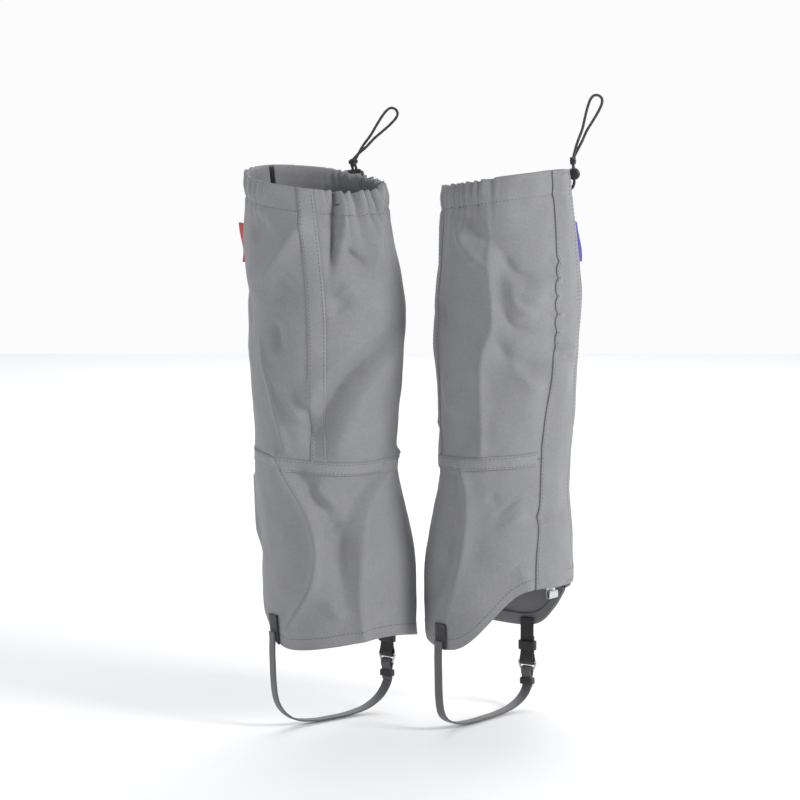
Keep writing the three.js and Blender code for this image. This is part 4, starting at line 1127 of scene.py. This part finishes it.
# ---- The lace hooks ------------------------------------------------------------------------------
# A bent nickel-plated steel hook is riveted to each sleeve's hem at the foot of the front opening. It
# hooks over the lowest lace of the boot.

HOOK_WIDTH, HOOK_SHEET, HOOK_DROP, HOOK_REACH, HOOK_PLATE_HEIGHT = 0.012, 0.0009, 0.010, 0.0045, 0.013
HOOK_STAND_OFF = 0.0022
RIVET_RADIUS, RIVET_STAND_OFF = 0.0024, 0.0034


def plated(name, hex_colour, roughness):
    """Nickel plate, its shine a little uneven from handling."""
    material, shader = new_material(name, hex_colour, roughness, metallic=1.0)
    limits = {"To Min": roughness - 0.07, "To Max": roughness + 0.12}
    shine = add_node(material, "MapRange", None, limits, {"Value": noise(material, 260.0, 4.0)})
    material.node_tree.links.new(shine.outputs["Result"], shader.inputs["Roughness"])
    return material


nickel_plate = plated("nickel_plate", "#c9cacc", 0.26)


def flat_section(width, thickness, edge=0.3, narrow=None):
    """A flat strip's section with rounded edges, as wide and thick places for v round the strip."""

    def section(v, u):
        turn = 2 * math.pi * v
        c, s = np.cos(turn), np.sin(turn)
        wide = width / 2 * np.sign(c) * np.abs(c) ** edge
        if narrow is not None:
            wide = wide * narrow(u)
        return wide, thickness / 2 * np.sign(s) * np.abs(s) ** edge

    return section


for leg in LEGS:
    point, across, up, outward = wall_frame(leg, HOOK_ANGLE, hem_at(np.array(float(HOOK_ANGLE))))
    bend = HOOK_REACH / 2
    mid = bend - HOOK_SHEET / 2
    foot = -HOOK_DROP + bend
    turn = np.linspace(math.pi, 2 * math.pi, 16)
    out = [HOOK_SHEET / 2] * 12 + list(bend + mid * np.cos(turn)) + [HOOK_REACH - HOOK_SHEET / 2] * 6
    rise = [*np.linspace(HOOK_PLATE_HEIGHT, foot + 0.0004, 12)]
    rise += list(foot + mid * np.sin(turn))
    rise += [*np.linspace(foot + 0.0004, -bend, 6)]
    line = point + outward * (HOOK_STAND_OFF + np.array(out))[:, None] + up * np.array(rise)[:, None]
    section = flat_section(
        HOOK_WIDTH, HOOK_SHEET, 0.35, lambda u: 1 - 0.1 * smooth(0.06, 0, u) - 0.16 * smooth(0.9, 1, u)
    )
    mesh = swept(leg["name"] + "_hook", line, section, 32, across=across)
    attach(leg, "plated_hook", "lace_hook", "nickel", "garments", mesh, nickel_plate)
    base = point + up * HOOK_PLATE_HEIGHT / 2 + outward * RIVET_STAND_OFF
    outline = [
        (-0.0002, 0), (-0.0002, RIVET_RADIUS), (0, RIVET_RADIUS), (0.0003, RIVET_RADIUS * 0.93),
        (0.0005, RIVET_RADIUS * 0.75), (0.0007, RIVET_RADIUS * 0.4), (0.0008, 0),
    ]
    mesh = lathed(leg["name"] + "_rivet", outline, 28, base, outward, across)
    attach(leg, "rivet", "lace_hook_rivet", "nickel", "garments", mesh, nickel_plate)

# ---- The straps under the instep -----------------------------------------------------------------
# A ribbed grey strap hangs from a black webbing tab on one side of the hem, passes under the boot and
# folds over a wire ring. The ring hangs on the other side from black webbing that runs in a slider.

STRAP_GAP = 0.0009
WEBBING, WEBBING_WIDTH = 0.0014, 0.014
STRAP, STRAP_WIDTH = 0.0018, 0.010
TAB_HEIGHT = 0.024
TAB_OFFSET, BUCKLE_OFFSET = 0.0054, -0.0031
PIVOT_ABOVE_HEM, TOP_ABOVE_PIVOT = 0.002, 0.006
LOOP_HALF, FOLD_HALF = 0.00276, 0.00085
RING_TOP_BAR, RING_LOW_BAR, SLIDER_DOWN, KEEPER_DOWN = 0.037, 0.045, 0.021, 0.056
RING_BAR, RING_TOP_HALF, RING_LOW_HALF = 0.0022, 0.00854, 0.0056
STRAP_LOOP_HALF, STRAP_FOLD_HALF = 0.00318, 0.00105
SLIDER_HEIGHT, KEEPER_HEIGHT, SLIDER_WALL, SLIDER_CORNER = 0.009, 0.006, 0.0016, 0.0012
SLOT_CLEARANCE = 0.0006
TAB_LIFT, TAB_FACE = 0.0029, 0.0036
STRAP_STRAIGHT = 0.018
UNDER_FOOT = (
    (0.06, 0.5), (0.18, 0.16), (0.35, 0.016), (0.5, 0), (0.65, 0.016), (0.84, 0.22), (0.96, 0.8),
)
# The real weave's picks are 0.6 mm apart; they are drawn 1.2 mm apart, so that they show.
PICK_SPACING = 0.0012


def narrow_weave(name, dark, light, roughness, pick, relief):
    """Narrow woven stuff: ribs across it, tone and height together."""
    material, shader = new_material(name, dark, roughness, sheen=0.2)
    ribs = threads(material, "X", pick, 0.5, 1.0)
    paint(material, shader, ramp(material, ribs, dark, light))
    emboss(material, shader, ribs, relief, 0.0003)
    return material


black_webbing = narrow_weave("black_nylon_webbing", "#121214", "#2b2b2f", 0.78, PICK_SPACING, 0.7)
ribbed_strap = narrow_weave("ribbed_grey_strap", "#3f3f42", "#5d5d60", 0.62, PICK_SPACING, 0.6)


def rounded_slot(wide, deep, corner, steps):
    """A rounded rectangle's outline, as places along and across it, evenly spaced."""
    points = []
    for cx, cy, start in ((1, 1, 0), (-1, 1, 90), (-1, -1, 180), (1, -1, 270)):
        for turn in np.radians(np.linspace(start, start + 90, 7)):
            x = cx * (wide / 2 - corner) + corner * math.cos(turn)
            points.append((x, cy * (deep / 2 - corner) + corner * math.sin(turn), 0))
    line = evenly(np.array([*points, points[0]]), steps)[:-1]
    return line[:, 0], line[:, 1]


def sleeve_ring(leg, name, at, down, height, width, depth, node, slot, body, material):
    """A ring of flat stock round the strap, such as a slider or a keeper."""
    along, through = rounded_slot(width + SLIDER_WALL, depth + SLIDER_WALL, SLIDER_CORNER, 64)
    line = np.array([at(a, down, t - FOLD_HALF) for a, t in zip(along, through)])
    section = flat_section(height, SLIDER_WALL, 0.4)
    mesh = swept(f"{leg['name']}_{name}", line, section, 20, across=UP, closed=True)
    return attach(leg, name, node, slot, body, mesh, material)


for leg in LEGS:
    side = leg["name"]
    strap_body = side + "_strap"
    tab_angle, buckle_angle = float(leg["tab_angle"]), float(leg["buckle_angle"])
    tab_height = float(hem_at(np.array(tab_angle))) + PIVOT_ABOVE_HEM
    buckle_height = float(hem_at(np.array(buckle_angle))) + PIVOT_ABOVE_HEM

    def on_leg(angle, height, offset, leg=leg):
        point, out, _ = skin(leg, angle, height)
        return point + out * offset

    tab, tab_top = (on_leg(tab_angle, tab_height + rise, TAB_OFFSET) for rise in (0, TOP_ABOVE_PIVOT))
    buckle = on_leg(buckle_angle, buckle_height, BUCKLE_OFFSET)
    buckle_top = on_leg(buckle_angle, buckle_height + TOP_ABOVE_PIVOT, BUCKLE_OFFSET)
    tab_across = skin(leg, tab_angle, tab_height)[2]
    buckle_across = -skin(leg, buckle_angle, buckle_height)[2]
    facing = np.cross(buckle_across, UP)
    inward = unit((tab - buckle) * (1, 1, 0))

    def at(across, down, through, buckle=buckle, buckle_across=buckle_across, facing=facing):
        return buckle + buckle_across * across - UP * down + facing * through

    half = degrees_for(leg, WEBBING_WIDTH / 2, tab_height)
    hem = tab_height - PIVOT_ABOVE_HEM
    mesh = cloth_layer(
        "webbing_tab", leg, upright(tab_angle - half, tab_angle + half),
        lambda angle: hem_at(angle) + 0.0003, lambda angle: 0 * angle + hem + TAB_HEIGHT, TAB_LIFT, 10, 22,
        (WEBBING_WIDTH, TAB_HEIGHT),
    )
    sew_on(leg, "webbing_tab", "strap_tab", "webbing", mesh, WEBBING, [black_webbing])
    tab_half = degrees_for(leg, WEBBING_WIDTH / 2 - EDGE_MARGIN, tab_height)
    tab_heights = np.linspace(hem + 0.009, hem + TAB_HEIGHT - EDGE_MARGIN, 12)
    tab_angles = np.linspace(tab_angle - tab_half, tab_angle + tab_half, 8)
    rows = [(tab_angle + k * tab_half, tab_heights, TAB_FACE) for k in (-1, 1)]
    rows += [(tab_angles, hem + rise, TAB_FACE) for rise in (0.009, 0.0222)]
    sewing(leg, "tab_stitching", rows, "garments", "webbing")

    route = [
        buckle_top, at(0, 0.012, 0), at(0, SLIDER_DOWN, 0), at(0, RING_TOP_BAR - 0.008, 0),
        at(0, RING_TOP_BAR, LOOP_HALF - FOLD_HALF), at(0, RING_TOP_BAR + LOOP_HALF, -FOLD_HALF),
        at(0, RING_TOP_BAR, -FOLD_HALF - LOOP_HALF), at(0, RING_TOP_BAR - 0.008, -2 * FOLD_HALF),
        at(0, SLIDER_DOWN, -2 * FOLD_HALF), at(0, 0.012, -2 * FOLD_HALF),
    ]
    line = curve_through(route, 90)
    section = flat_section(WEBBING_WIDTH, WEBBING)
    mesh = swept(side + "_buckle_webbing", line, section, 24, across=buckle_across)
    webbing = attach(leg, "nylon_webbing", "buckle_webbing", "webbing", strap_body, mesh, black_webbing)
    sleeve_ring(
        leg, "slider", at, SLIDER_DOWN, SLIDER_HEIGHT,
        WEBBING_WIDTH + SLOT_CLEARANCE, 2 * WEBBING + STRAP_GAP,
        "strap_slider", "acetal", side + "_slider", black_acetal,
    )
    sleeve_ring(
        leg, "keeper", at, KEEPER_DOWN, KEEPER_HEIGHT, STRAP_WIDTH + SLOT_CLEARANCE, 2 * STRAP + STRAP_GAP,
        "strap_keeper", "webbing", strap_body, black_webbing,
    )
    top, low = RING_TOP_HALF + RING_BAR / 2, RING_LOW_HALF + RING_BAR / 2
    corners = [(-top, RING_TOP_BAR), (top, RING_TOP_BAR), (low, RING_LOW_BAR), (-low, RING_LOW_BAR)]
    points = []
    for k, (x, down) in enumerate(corners):
        before, after = np.array(corners[k - 1]), np.array(corners[(k + 1) % 4])
        here = np.array([x, down])
        start, end = here + unit(before - here) * 0.0015, here + unit(after - here) * 0.0015
        for t in np.linspace(0, 1, 7):
            points.append(start * (1 - t) ** 2 + 2 * here * t * (1 - t) + end * t**2)
    wire = evenly(np.array([at(x, down, -FOLD_HALF) for x, down in [*points, points[0]]]), 96)[:-1]
    mesh = swept(side + "_ring", wire, round_section(RING_BAR / 2), 16, across=facing, closed=True)
    attach(leg, "ring", "strap_ring", "nickel", strap_body, mesh, nickel_plate)

    middle = -FOLD_HALF
    hang = at(0, KEEPER_DOWN + KEEPER_HEIGHT, middle + STRAP_FOLD_HALF)
    foot = np.linalg.norm((tab - hang)[:2])
    under = [
        np.array([*hang[:2], STRAP / 2 + hang[2] * drop]) + inward * foot * way for way, drop in UNDER_FOOT
    ]
    route = [
        at(0, KEEPER_DOWN + KEEPER_HEIGHT, middle - STRAP_FOLD_HALF),
        at(0, KEEPER_DOWN - KEEPER_HEIGHT / 2, middle - STRAP_FOLD_HALF),
        at(0, RING_LOW_BAR, middle - STRAP_LOOP_HALF), at(0, RING_LOW_BAR - STRAP_LOOP_HALF, middle),
        at(0, RING_LOW_BAR, middle + STRAP_LOOP_HALF),
        at(0, KEEPER_DOWN - KEEPER_HEIGHT / 2, middle + STRAP_FOLD_HALF), hang, *under,
        tab - UP * STRAP_STRAIGHT, tab, tab_top,
    ]
    line = curve_through(route, 220)
    turned = smooth(0.3, 0.8, np.linspace(0, 1, len(line)))[:, None]
    mesh = swept(
        side + "_instep_strap", line, flat_section(STRAP_WIDTH, STRAP), 24,
        across=unit(buckle_across * (1 - turned) + tab_across * turned),
    )
    strap = attach(leg, "ribbed_strap", "instep_strap", "strap", strap_body, mesh, ribbed_strap)
